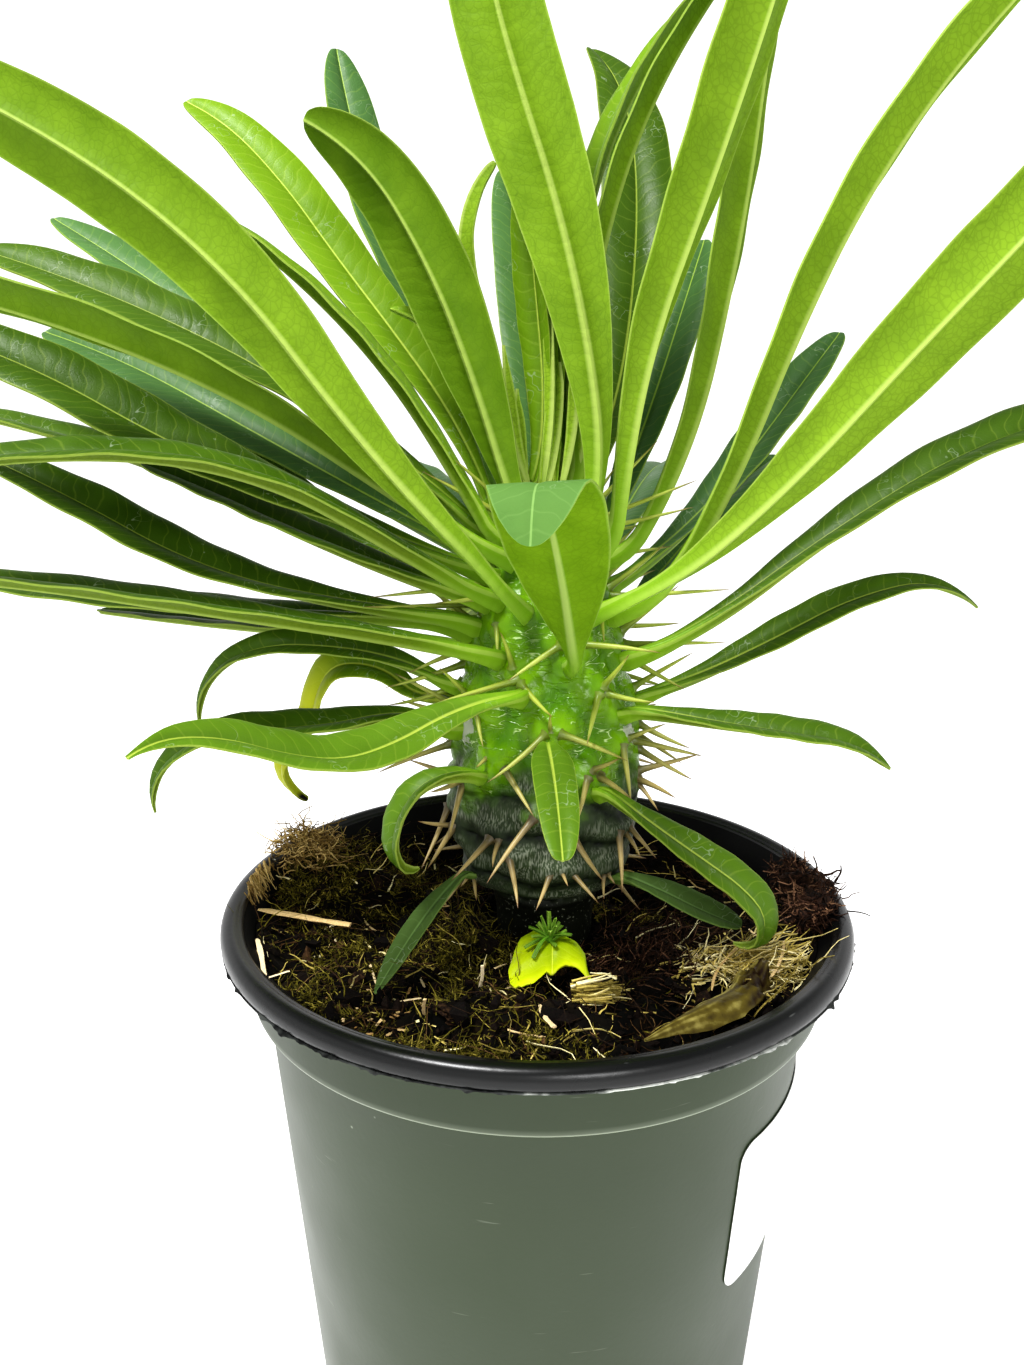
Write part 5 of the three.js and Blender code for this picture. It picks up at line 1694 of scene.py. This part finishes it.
@dataclass
class PottingMix:
    """Peat and coir with living moss, straw, bark and slivers of wood on it."""

    pot: NurseryPot
    axis: Pair = (2.5, 3)
    level: float = 138
    front_rise: float = 0.05
    below_rim: float = 4.4
    cling: float = 3.4
    cling_from: float = 60
    settled: float = 16
    settling: float = 20
    mounds: tuple[tuple[float, float, float, float], ...] = (
        (-62, 21, 12, 13), (-50, 48, 12, 7), (-62, -20, 12, 4),
        (48, -26, 12, 4), (66, 2, 9, 6), (10, 60, 18, 2),
    )
    moss_heaps: tuple[tuple[float, float, float, int], ...] = (
        (-64, 14, 8, 420), (-47, -49, 4, 90), (-19, -17, 4, 120), (-36, -24, 3, 50),
        (-30, -58, 5, 90), (-8, -62, 6, 60), (-52, -10, 5, 90),
    )
    hole: float = 12
    reach: float = 71.5
    reach_over_rim: float = 79
    trunk_clearance: float = 14.5
    sides: int = 300
    rows: int = 88
    seed: int = 12

    def height(self, x: Array, y: Array) -> Array:
        """Height of the surface, without its fine lumps.

        Args:
            x: millimetres to the right.
            y: millimetres to the back.

        Returns:
            Millimetres.
        """
        from_trunk = np.hypot(x - self.axis[0], y - self.axis[1])
        share = held((from_trunk - self.settled) / self.settling)
        shape = -y * self.front_rise
        for cx, cy, spread, height in self.mounds:
            shape = shape + height * np.exp(-((x - cx) ** 2 + (y - cy) ** 2) / (2 * spread**2))
        # it clings to the wall, save at the back
        near_wall = held((np.hypot(x, y) - self.cling_from) / 12) ** 2
        shape = shape + self.cling * near_wall * held(0.9 - y / 50)
        return self.level + share * shape

    def lumpy(self, x: Array, y: Array) -> Array:
        """Height of the surface with its lumps and crumbs.

        Args:
            x: millimetres to the right.
            y: millimetres to the back.

        Returns:
            Millimetres.
        """
        flat = np.stack([x, y, np.zeros_like(x)], -1)
        lumps = 3.2 * UNEVEN.at(flat, 11, 2)
        return self.height(x, y) + lumps + 2.0 * UNEVEN.at(flat + 50, 2.6, 3) - 0.8

    def scattered(
        self, random: Random, count: int, middle: Sequence[float] | None = None,
        spread: float = 0, most: float = reach,
    ) -> Array:
        """Points on the surface.

        Args:
            random: where the numbers come from.
            count: how many points are drawn, before those off the mix are dropped.
            middle: x and y of a heap, or nothing for the whole surface.
            spread: the heap's spread.
            most: the largest radius.

        Returns:
            N by 3, in millimetres.
        """
        if middle is None:
            radius = most * np.sqrt(random.uniform(0, 1, count))
            turn = random.uniform(0, 2 * np.pi, count)
            x, y = radius * np.cos(turn), radius * np.sin(turn)
        else:
            x, y = np.array(middle)[:, None] + random.normal(0, spread, (2, count))
        from_trunk = np.hypot(x - self.axis[0], y - self.axis[1])
        kept = (np.hypot(x, y) < most) & (from_trunk > self.trunk_clearance)
        x, y = x[kept], y[kept]
        return np.stack([x, y, self.lumpy(x, y)], 1)

    def mossy(self, points: Array) -> Array:
        """How likely moss is: most at the left and in the front.

        Args:
            points: N by 3, in millimetres.

        Returns:
            A share for each point.
        """
        left = held((-points[:, 0] + 6) / 26)
        front = held((-points[:, 1] - 22) / 18) * held((30 - points[:, 0]) / 30)
        patch = 0.5 + 0.8 * UNEVEN.at(points * [1, 1, 0], 16, 2)
        return np.clip(np.maximum(left, front) * patch * 1.5, 0.04, 1)

    def ground(self) -> None:
        """Makes the body of the mix, down to the pot's floor."""
        wall = np.array(self.pot.inside())[::-1]
        edge_top = self.pot.height - self.below_rim
        share = np.linspace(0, 1, self.rows)[:, None]
        turn = np.linspace(0, 2 * np.pi, self.sides, endpoint=False)
        rim = np.interp(self.level + 4, wall[:, 1], wall[:, 0]) - 0.25
        x = (self.axis[0] + self.hole * np.cos(turn)) * (1 - share) + rim * np.cos(turn) * share
        y = (self.axis[1] + self.hole * np.sin(turn)) * (1 - share) + rim * np.sin(turn) * share
        z = np.maximum(self.lumpy(x, y), self.level - 3.5)
        z[-1] = np.minimum(z[-1], edge_top)
        fit = (np.interp(z[-1], wall[:, 1], wall[:, 0]) - 0.25) / np.hypot(x[-1], y[-1])
        x[-1], y[-1] = x[-1] * fit, y[-1] * fit
        surface = np.stack([x, y, z], -1)
        below = [
            (np.interp(z, wall[:, 1], wall[:, 0]) - 0.25, z)
            for z in (self.pot.collar_foot + 0.4, self.pot.collar_foot - 1.3, 60, 2.3)
        ]
        side = turned(below, self.sides)
        foot = turned([(self.hole, 121.0)], self.sides, self.axis)
        grid = np.concatenate([foot, surface, side])
        tone = held(0.2 + 0.35 * UNEVEN.at(grid, 6, 3))
        shape = Shape()
        shape.add(grid, *rings(len(grid), self.sides), tone=tone)
        shape.piece("potting_mix", [PEAT.build()], ["soil"], sharp=180)

    def lay(
        self, shape: Shape, random: Random, at: Array, lengths: Pair, radii: Pair, rise: Pair,
        bend: float, curl: float, tones: Array, heading: Array | None = None, steps: int = 5,
    ) -> None:
        """Lays threads on the mix, leaving out those that would reach past the pot's wall.

        Args:
            shape: what they are added to.
            random: where the numbers come from.
            at: N by 3, their roots.
            lengths: their shape and scale as a gamma distribution, in millimetres.
            radii: the thinnest and the thickest.
            rise: the middle and the spread of their pitch, in degrees.
            bend: how strongly they bend, as a share of the length.
            curl: how strongly they wind, as a share of the length.
            tones: one for each.
            heading: one for each, or any way.
            steps: rings along each, less one.
        """
        count = len(at)
        if heading is None:
            heading = random.uniform(0, 360, count)
        ways = direction(heading, random.normal(*rise, count))
        bends = random.normal(0, bend, (count, 3)) * [1, 1, 0.5] - [0, 0, 0.05]
        far = random.gamma(*lengths, count) + 1
        radius = random.uniform(*radii, count)
        tips = at + (ways + bends) * far[:, None]
        over_rim = tips[:, 2] > self.pot.height + 2
        most = np.where(over_rim, self.reach_over_rim, self.reach)
        kept = np.hypot(tips[:, 0], tips[:, 1]) < most
        strands(
            shape, at[kept], ways[kept], far[kept], radius[kept], bends[kept], steps, 3, 0.4,
            curl, tone=held(tones[kept]),
        )

    def crumbs(self) -> None:
        """Makes loose crumbs of bark and peat."""
        random = np.random.default_rng(self.seed)
        at = self.scattered(random, 2000)
        corners, faces = ball(1)
        size = random.gamma(2.0, 0.34, len(at)) + 0.3
        body = corners[None] * random.uniform(0.5, 1.4, (len(at), len(corners), 1))
        body = body * size[:, None, None] * random.uniform(0.5, 1.4, (len(at), 1, 3))
        points = body + at[:, None] + [0, 0, 0.1]
        shift = (np.arange(len(at)) * len(corners))[:, None, None]
        shape = Shape()
        shape.add(
            points, faces + shift, tone=np.repeat(random.beta(1.1, 4.0, len(at)), len(corners))
        )
        shape.piece("bark_crumbs", [BARK_CHIP.build()], sharp=20)

    def moss(self) -> None:
        """Makes the moss: wiry curled stems, and cushions of tiny leaves between them."""
        random = np.random.default_rng(self.seed + 1)
        at = self.scattered(random, 8000)
        at = at[random.uniform(0, 1, len(at)) < self.mossy(at)]
        patch = 0.5 + 0.7 * UNEVEN.at(at, 8, 2)
        shape = Shape()
        tones = random.beta(0.9, 2.4, len(at)) * 0.9 + 0.3 * (patch - 0.4)
        self.lay(
            shape, random, at + [0, 0, 0.2], (2.6, 1.2), (0.1, 0.24), (18, 26), 0.3, 0.14, tones
        )
        heaps = [
            self.scattered(random, count, (x, y), spread) for x, y, spread, count in self.moss_heaps
        ]
        clumps = self.scattered(random, 210)
        clumps = clumps[random.uniform(0, 1, len(clumps)) < self.mossy(clumps)]
        tufts = np.repeat(clumps, 20, 0)
        tufts = tufts + random.normal(0, 2.0, tufts.shape) * [1, 1, 0.3]
        at = np.concatenate([*heaps, tufts]) + [0, 0, 0.5]
        each = 6
        bright = np.repeat(random.uniform(0.3, 1.0, len(at)), each)
        size = len(at) * each
        middle = np.repeat(at, each, 0) + random.normal(0, 0.6, (size, 3))
        inside = np.hypot(middle[:, 0], middle[:, 1]) < self.reach
        middle, bright = middle[inside], bright[inside]
        size = len(middle)
        strands(
            shape, middle, unit(random.normal(0, 1, (size, 3)) + [0, 0, 0.4]),
            random.uniform(0.8, 2.2, size), random.uniform(0.12, 0.26, size),
            random.normal(0, 0.2, (size, 3)), 1, 3, 0.15,
            tone=held(random.beta(1.3, 1.7, size) * bright),
        )
        shape.piece("living_moss", [MOSS.build()])

    def fibres(self) -> None:
        """Makes the dark coir all over, a mat of roots at the right and a tan ball at the left."""
        random = np.random.default_rng(self.seed + 2)
        shape = Shape()
        at = self.scattered(random, 2900)
        tones = random.beta(1.2, 3.2, len(at))
        self.lay(shape, random, at + [0, 0, 0.3], (3.0, 2.0), (0.08, 0.2), (6, 16), 0.3, 0.1, tones)
        shape.piece("coir_fibres", [COIR.build()])
        mat = Shape()
        at = self.scattered(random, 900, (27, -17), 7)
        at = at + np.stack([0 * at[:, 0], 0 * at[:, 0], random.uniform(0, 3.0, len(at))], 1)
        heading = random.normal(15, 45, len(at))
        tones = random.beta(1.4, 3.0, len(at))
        self.lay(mat, random, at, (2.6, 1.5), (0.12, 0.28), (10, 20), 0.35, 0.15, tones, heading)
        mat.piece("root_mat", [ROOT_FIBRE.build()])
        tan = Shape()
        dome = unit(random.normal(0, 1, (620, 3)) + [0, 0, 0.5])
        at = np.array([-65.5, 21, 151]) + dome * [9, 8, 6] * random.uniform(0.6, 1.08, (620, 1))
        # painted light: strands on top of the ball are a little lighter
        tones = random.beta(1.3, 1.8, len(at)) + 0.12 * dome[:, 2]
        self.lay(tan, random, at, (2.4, 1.3), (0.12, 0.3), (10, 30), 0.4, 0.3, tones)
        # a few hang over the rim's inner edge
        count = 80
        hung = (self.pot.rim_inner + 0.2) * direction(random.normal(178, 4, count), 0)
        hung[:, 2] = random.uniform(149.8, 153.5, count)
        strands(
            tan, hung, unit(random.normal((0.35, -0.25, -0.85), (0.12, 0.25, 0.3), (count, 3))),
            random.uniform(3, 8, count), random.uniform(0.14, 0.34, count),
            random.normal(0, 0.12, (count, 3)), 5, 3, 0.4, 0.05, tone=random.beta(3.0, 2.0, count),
        )
        tan.piece("tan_fibres", [TAN_FIBRE.build()])

    def straw(self) -> None:
        """Makes the pale straw, which lies thickest in a heap at the right front."""
        random = np.random.default_rng(self.seed + 3)
        loose = self.scattered(random, 330)
        heap = self.scattered(random, 760, (48, -26), 7.5)
        edge = self.scattered(random, 260, (60, -29), 6)
        at = np.concatenate([loose, heap, edge])
        count = len(at)
        heading = random.uniform(0, 360, count)
        heaped = np.arange(count) >= len(loose)
        heading = np.where(heaped, random.normal(-40, 45, count), heading)
        lift = np.where(heaped, random.uniform(0.2, 2.8, count), 0.5)
        shape = Shape()
        self.lay(
            shape, random, at + lift[:, None] * [0, 0, 1], (2.8, 2.0), (0.13, 0.34), (9, 18),
            0.16, 0.06, random.beta(1.3, 1.2, count), heading,
        )
        # a folded scrap of an old leaf, layered and frayed at both its ends
        count = 90
        sheaf = random.uniform((8.0, -45.5, 0.4), (11.5, -37.0, 5.0), (count, 3))
        sheaf[:, 2] += self.height(sheaf[:, 0], sheaf[:, 1])
        self.lay(
            shape, random, sheaf, (40, 0.17), (0.3, 0.55), (4, 5), 0.06, 0.02,
            random.beta(1.0, 2.6, count), random.normal(8, 7, count),
        )
        shape.piece("dry_straw", [STRAW.build()])

    def slivers(self) -> None:
        """Makes the slivers of split wood, placed one by one, and some smaller ones."""
        random = np.random.default_rng(self.seed + 4)
        placed = (
            ((-71, -8.5, 147.4), (-46.5, -13.5, 145.9), 0.75),
            ((-67.5, -23.5, 147), (-61, -41, 147), 0.4),
            ((-67, -24, 147), (-63, -39.5, 147.2), 0.3),
            ((-60.5, -41.5, 146.8), (-56, -38.5, 147), 0.2),
            ((-24.4, -47, 141.5), (-24.0, -49, 146.5), 0.3),
            ((1, -44, 142.5), (4, -56, 144.5), 0.4),
            ((-12.9, -34, 140.5), (-12.2, -36, 147.5), 0.32),
            ((40, -12, 141.5), (56, -34, 145.5), 0.3), ((36, -22, 142.5), (58, -24, 144.5), 0.3),
            ((39, -44, 146.5), (49, -24, 146.5), 0.22), ((52, -40, 146.5), (60, -22, 147), 0.24),
        )
        few = self.scattered(random, 40, most=66)
        heading = random.uniform(0, 360, len(few))
        ways = direction(heading, random.uniform(0, 20, len(few)))
        ends = few + ways * random.uniform(3, 9, (len(few), 1))
        small = [(a + [0, 0, 0.8], b + [0, 0, 0.8], 0.22) for a, b in zip(few, ends)]
        grit = self.scattered(random, 70, (-38, -52), 9)
        grit = grit[np.hypot(grit[:, 0], grit[:, 1]) < 69]
        small += [(a, a + random.normal(0, 0.7, 3), 0.26) for a in grit + [0, 0, 0.6]]
        shape = Shape()
        t = np.linspace(0, 1, 9)[:, None]
        turn = np.linspace(0, 2 * np.pi, 5, endpoint=False)[:, None]
        for number, (start, end, radius) in enumerate([*placed, *small]):
            start, end = np.array(start, float), np.array(end, float)
            ahead = unit(end - start)
            across = unit(np.cross(ahead, [0, 0, 1]))
            above = np.cross(across, ahead)
            middle = start + (end - start) * t
            sway = 0.03 * np.linalg.norm(end - start) * random.normal(0, 1, 3)
            middle = middle + sway * t * (1 - t) * 4
            uneven = random.uniform(0.75, 1.2, (9, 5, 1)) * np.where(t < 0.05, 0.5, 1)[:, None]
            ring = middle[:, None] + radius * uneven * (
                across * np.cos(turn) * 1.5 + above * np.sin(turn) * 0.7
            )
            low = 0.0 if number >= len(placed) + len(few) else 0.35
            shape.add(ring, *rings(9, 5), tone=random.uniform(low, low + 0.6))
        shape.piece("wood_slivers", [WOOD.build()], sharp=25)

    def chips(self) -> None:
        """Makes the larger chips of bark."""
        random = np.random.default_rng(self.seed + 5)
        shape = Shape()
        places = (
            (24, -16, 4.5, 60), (34, -36, 4.2, 20), (26, 9, 4.6, 75), (-20, -47, 3.5, 15),
            (-36, 30, 4.5, 30), (12, -36, 4.0, 25), (56, 20, 4.2, 40), (38, -4, 4.0, 50),
        )
        for x, y, size, tilt in places:
            u, v = np.meshgrid(np.linspace(-1, 1, 14), np.linspace(-1, 1, 12))
            turn = random.uniform(0, 360)
            a = direction(turn, tilt)
            b = direction(turn + 90, 0)
            up = np.cross(a, b)
            round_off = np.sqrt(np.clip(1.15 - 0.5 * (u**4 + v**4), 0.3, 1))
            flat = a * (u * round_off * size)[..., None]
            flat = flat + b * (v * round_off * size * 0.6)[..., None]
            z = float(self.lumpy(np.array([x]), np.array([y]))[0])
            grid = flat + [x, y, z + 1.2]
            rough = UNEVEN.at(grid, 2.6, 3)
            grid = grid + up * (0.6 * rough + 0.8 * v**2)[..., None]
            points, quads = plate(grid, 1.1)
            shape.add(points, quads, tone=random.uniform(0.25, 0.7))
        shape.piece("bark_chips", [BARK_CHIP.build()])


@dataclass
class Litter:
    """What lies or grows on the mix: a seedling, two fallen leaves and a mass of roots."""

    mix: PottingMix
    blade: Blade
    x: float = 3.5
    y: float = -23
    lift: float = 1.2
    stem: float = 8.6
    leaflet: float = 4.6
    leaflets: tuple[Triple, ...] = (
        (250, 84, 7.2), (190, 32, 6.2), (215, 20, 6.0), (205, -14, 7.2), (345, 42, 5.4),
        (330, 12, 6.2), (235, -30, 8.5), (300, 62, 5.4), (160, 58, 5.2), (20, 64, 5.4),
        (90, 46, 5.0), (268, 46, 5.2), (130, 22, 5.0), (50, 16, 5.5), (285, 8, 4.6),
        (180, 72, 5.8), (318, 76, 6.0),
    )
    torn_place: Triple = (8, -22.5, 147)
    torn_upper: tuple[Pair, ...] = (
        (-13.5, 9.8), (-12.8, 3.8), (-11.6, -0.6), (-8.4, -3.3), (-5.3, -4.5), (-2.3, -2.8),
        (1.5, -0.3), (4.3, 2.9), (5.0, 7.5), (6.8, 11.2),
    )
    torn_lower: tuple[Pair, ...] = (
        (-13.5, 9.9), (-12.6, 13.6), (-11.2, 15.7), (-10.3, 14.9), (-7.1, 14.2), (-5.6, 12.4),
        (-4.5, 10.4), (-2.5, 10.1), (-1.4, 8.5), (0, 7.1), (3.1, 8.2), (4.6, 9.6), (6.8, 11.4),
    )
    torn_rib: Pair = (-4.1, -3.0)
    dead_lower: tuple[Triple, ...] = (
        (22.2, -64.2, 146.6), (29.7, -60.8, 146.2), (37, -58.5, 146.2), (44.2, -54.5, 146.5),
        (49.7, -48.5, 146.8), (53, -42, 147),
    )
    dead_upper: tuple[Triple, ...] = (
        (22.2, -63.8, 146.8), (29, -56.5, 146.5), (35.3, -50.5, 147), (41.4, -45.9, 147.6),
        (46, -39.5, 148.5), (51, -38.4, 148),
    )

    def seedling_foot(self) -> Array:
        """The foot of the seedling's stem."""
        height = self.mix.height(np.array([self.x]), np.array([self.y]))[0]
        return np.array([self.x, self.y, height + self.lift])

    def seedling(self, finishes: Sequence[Material]) -> None:
        """Makes the weed: a short stem and narrow pointed leaves all round it.

        Args:
            finishes: its leaves' upper and lower finish.
        """
        base = self.seedling_foot()
        random = np.random.default_rng(31)
        shape = Shape()
        profile = [(1.0, -1.5), (0.9, 2), (0.75, 5), (0.8, self.stem)]
        stalk = turned(profile, 10) + base
        shape.add(stalk, *rings(len(profile), 10), **PLAIN_BLADE, tone=0.4)
        for k, (turn, pitch, length) in enumerate(self.leaflets):
            leaf = Leaf(
                WEED, turn, 0, length, 1.1, 14, (pitch * 0.6 + 30, pitch, pitch - 8),
                (turn, turn + 6), (0, 0), float(random.uniform(0.3, 1.0)),
                foot_pitch=max(pitch, 40), pointed=1.4,
            )
            start = base + [0, 0, self.stem * (0.98 - 0.04 * (k % 5))]
            self.blade.grow(shape, leaf, start, 90 + k)
        shape.piece("seedling_rosette", finishes, ["seedling"])

    def torn_leaf(self) -> None:
        """Makes the yellow leaf, torn across its lower right."""
        finish = LeafFinish(
            "yellowed_leaf", "#668e06", "#d8e610", "#8fae14", "#d8e030", "#e6ee50", "#dde66a",
            "#7a9a10", stalk="#b4c81e", net_size=1.8, vein_spacing=2.6, rib_base=0.4,
            rib_tip=0.3, through=0.4, gloss=0.2,
        )
        first, last = self.torn_upper[0][0], self.torn_upper[-1][0]
        turn = np.linspace(0, np.pi, 61)
        out, v = np.meshgrid(
            first + (last - first) * (0.5 - 0.5 * np.cos(turn)), np.linspace(0, 1, 33)
        )
        u = (out - first) / (last - first) * 2 - 1
        upper, lower = along(self.torn_upper, out), along(self.torn_lower, out)
        jag = UNEVEN.at(np.stack([out, 0 * u, 0 * u], -1), 1.6, 3)
        reach = upper + (lower - upper) * v
        reach = reach + 0.7 * jag * v**6 * held((1 - np.abs(u)) * 5)
        ahead, side = direction(264, -20), direction(354, 0)
        up = np.cross(side, ahead)
        up = up * np.sign(up[2])
        rib = self.torn_rib[0] + (self.torn_rib[1] - self.torn_rib[0]) * v
        dome = np.sin(np.pi * held((u + 1) / 2)) ** 0.6
        lift = 2.0 * dome * np.sin(np.pi * held(0.12 + 0.75 * v)) ** 0.7 - 1.2
        lift = lift + 0.3 * np.sin(0.9 * reach + 0.5 * out) - 0.8 * held(u - 0.4)
        grid = (
            np.array(self.torn_place)
            + side * out[..., None]
            + ahead * reach[..., None]
            + up * (lift - 0.35 * np.exp(-(((out - rib) / 0.7) ** 2)))[..., None]
        )
        points, quads = plate(grid, 0.5)
        index = np.zeros(len(quads), int)
        index[(u.shape[0] - 1) * (u.shape[1] - 1):] = 1
        yellow = held(0.08 + 0.4 * np.abs(u) + 0.45 * v) + 0.5 * v**8
        torn_edge = held((v - 0.965) / 0.02) * np.clip(jag * 3, 0, 0.5)
        shape = Shape()
        shape.add(
            points, quads, finish=index, across=[out - rib] * 2, along=[reach] * 2,
            reach=[0.3 + 0.5 * v] * 2, rim=[np.abs(u) ** 3] * 2, tone=[yellow] * 2,
            scar=[torn_edge] * 2,
        )
        shape.piece("torn_leaf", [finish.build(s) for s in Side], ["yellow_leaf"])

    def dead_leaf(self) -> None:
        """Makes the dry leaf that lies curled against the rim."""
        u, v = np.meshgrid(np.linspace(0, 1, 25), np.linspace(0, 1, 61))
        stops = np.linspace(0, 1, len(self.dead_lower))
        lower, upper = (
            np.stack([np.interp(v, stops, np.array(edge)[:, k]) for k in range(3)], -1)
            for edge in (self.dead_lower, self.dead_upper)
        )
        withered = held((v - 0.6) / 0.2)
        flat = np.stack([u * 9, v * 38, 0 * u], -1)
        coarse, fine = (UNEVEN.at(flat, size, 3) for size in (7, 2.2))
        arch = 2.2 * np.sin(np.pi * u) * np.sin(np.pi * np.clip(v, 0.02, 0.98)) ** 0.5
        crumple = coarse * (0.3 + 2.8 * withered) + fine * (0.1 + 1.3 * withered)
        grid = lower + (upper - lower) * u[..., None]
        grid = grid + (arch + crumple * held(6 * v))[..., None] * [0, 0, 1]
        points, quads = plate(grid, 0.45)
        stripe = 0.12 * np.sin(u * 26 + 3 * coarse)
        # painted sheen: the strip along the upper edge is painted lighter
        tone = np.clip(0.5 + stripe + 0.1 * fine - 0.4 * withered + 0.4 * (u > 0.85), 0.02, 1)
        shape = Shape()
        shape.add(points, quads, tone=[tone] * 2)
        shape.piece("dead_leaf", [DRY_LEAF.build()], ["brown_leaf"])

    def root_mass(self) -> None:
        """Makes the clump of fine roots that lies over the rim."""
        random = np.random.default_rng(77)
        shape = Shape()
        out, faces = ball(4)
        picked = []
        for turn, size in ((-8, 3.2), (-3.5, 4.6), (1.5, 5.4), (7, 4.8), (12, 3.6)):
            centre = 70.5 * direction(357 + turn, 0) + [0, 0, 149.6]
            rough = UNEVEN.at(out * size + centre, 4.5, 4)
            body = out * size * (1 + 0.6 * rough)[:, None] * [1, 1, 0.75] + centre
            body[:, 2] = np.maximum(body[:, 2], 144.5)
            shape.add(body, faces, tone=held(0.25 + 0.4 * UNEVEN.at(body, 1.4, 2)))
            picks = random.integers(0, len(out), 260)
            picked.append(np.hstack([body[picks], out[picks]]))
        shape.piece("root_mass", [ROOT_FIBRE.build()], ["root_clump"], sharp=180)
        at = np.concatenate(picked)
        count = len(at)
        hairs = Shape()
        flat = unit(np.cross(at[:, 3:], random.normal(0, 1, (count, 3))))
        strands(
            hairs, at[:, :3], unit(flat + 0.35 * at[:, 3:]), random.gamma(2.5, 0.8, count) + 1,
            random.uniform(0.14, 0.42, count), random.normal(0, 0.3, (count, 3)), 4, 3, 0.4, 0.18,
            tone=held(random.beta(1.0, 1.8, count)),
        )
        far = np.array([[76.0, -8, 149.5], [75.0, 3, 153], [77.0, -3, 154]])
        ways = unit(np.array([[0.9, -0.6, -0.3], [0.9, -0.2, 0.5], [0.8, 0.2, 0.9]]))
        bends = np.array([[0.1, 0.2, 0.2], [0.3, 0.2, -0.3], [-0.2, 0.3, 0.2]])
        strands(
            hairs, far, ways, np.array([9.0, 5.0, 4.0]), np.array([0.24, 0.4, 0.4]), bends, 6, 4,
            0.5, 0.12, tone=np.array([0.1, 0.3, 0.2]),
        )
        hairs.piece("root_hairs", [ROOT_FIBRE.build()])


# ---- studio


@dataclass
class Studio:
    """A lit white table, white paper all round, two softboxes, and the camera."""

    image: tuple[int, int] = (1024, 1365)
    focal_pixels: float = 1026
    camera_at: Triple = (-0.6, -249.1, 266.1)
    yaw: float = -1.27
    pitch: float = 13.65
    sky: float = 1.08
    zenith: float = 0.3
    table_glow: float = 0.5
    key_watts: float = 13.0
    fill_watts: float = 3.5

    def camera(self) -> None:
        """Places the camera."""
        data = bpy.data.cameras.new("camera")
        data.sensor_width = 36
        data.lens = data.sensor_width * self.focal_pixels / self.image[1]
        data.clip_start = 0.01
        made = stand("camera", data)
        yaw, pitch = math.radians(self.yaw), math.radians(self.pitch)
        ahead = Vector(
            (math.sin(yaw) * math.cos(pitch), math.cos(yaw) * math.cos(pitch), -math.sin(pitch))
        )
        right = Vector((math.cos(yaw), -math.sin(yaw), 0))
        up = right.cross(ahead)
        turn = Matrix((right, up, -ahead)).transposed()
        made.matrix_world = Matrix.Translation(Vector(self.camera_at) * MM) @ turn.to_4x4()
        bpy.context.scene.camera = made

    def lamp(
        self, name: str, place: Sequence[float], aim: Sequence[float], size: float, watts: float
    ) -> None:
        """Places a square softbox.

        Args:
            name: the lamp's name.
            place: where it is, in metres.
            aim: the point that it faces.
            size: its side in metres.
            watts: its power.
        """
        data = bpy.data.lights.new(name, "AREA")
        data.size = size
        data.energy = watts
        made = stand(name, data)
        made.location = place
        made.rotation_euler = (Vector(aim) - Vector(place)).to_track_quat("-Z", "Y").to_euler()

    def build(self) -> None:
        """Makes the floor, the surroundings and the lamps."""
        floor = Shape()
        floor.add(turned([(0.5, -0.05), (400, -0.05), (9000, -0.05)], 96), rings(3, 96)[0])
        sweep, add = new_material("white_paper_sweep")
        paper = add(
            "BsdfPrincipled", Base_Color="#f8f8f8", Roughness=0.9, Emission_Color="#ffffff",
            Emission_Strength=self.table_glow,
        )
        add("OutputMaterial", Surface=paper)
        stand("floor", floor.mesh("floor", [sweep]))
        world = bpy.data.worlds.new("white_surroundings")
        bpy.context.scene.world = world
        world.use_nodes = True
        world.node_tree.nodes.clear()
        add = partial(add_node, world.node_tree)
        # white paper stands all round, and the ceiling above it is dim
        way = add("TexCoord", output="Generated")
        rise = add("SeparateXYZ", way, output=2)
        bright = add("MapRange", rise, 0.38, 0.65, self.sky, self.zenith)
        glow = add("Background", Color="#ffffff", Strength=bright)
        add("OutputWorld", Surface=glow)
        self.lamp("overhead_softbox", (-0.3, -0.35, 1.05), (0, 0, 0.2), 0.25, self.key_watts)
        self.lamp("front_softbox", (0.3, -0.95, 0.55), (0, 0, 0.2), 0.3, self.fill_watts)
        view = bpy.context.scene.view_settings
        view.view_transform = "Standard"
        view.look = "Medium High Contrast"


def main() -> None:
    """Builds the studio and the plant, piece by piece."""
    logging.basicConfig(level=logging.INFO, format="%(message)s")
    studio = Studio()
    studio.camera()
    studio.build()
    pot = NurseryPot()
    pot.shell()
    pot.flash()
    Sticker(pot).paper()
    mix = PottingMix(pot)
    mix.ground()
    mix.crumbs()
    mix.moss()
    mix.fibres()
    mix.straw()
    mix.slivers()
    mix.chips()
    trunk = Trunk()
    litter = Litter(mix, trunk.blade)
    trunk.bark()
    trunk.spines(litter)
    crown = Crown(trunk)
    crown.leaves()
    crown.growing_tip()
    litter.seedling(crown.finishes[WEED])
    litter.torn_leaf()
    litter.dead_leaf()
    litter.root_mass()


if __name__ == "__main__":
    main()
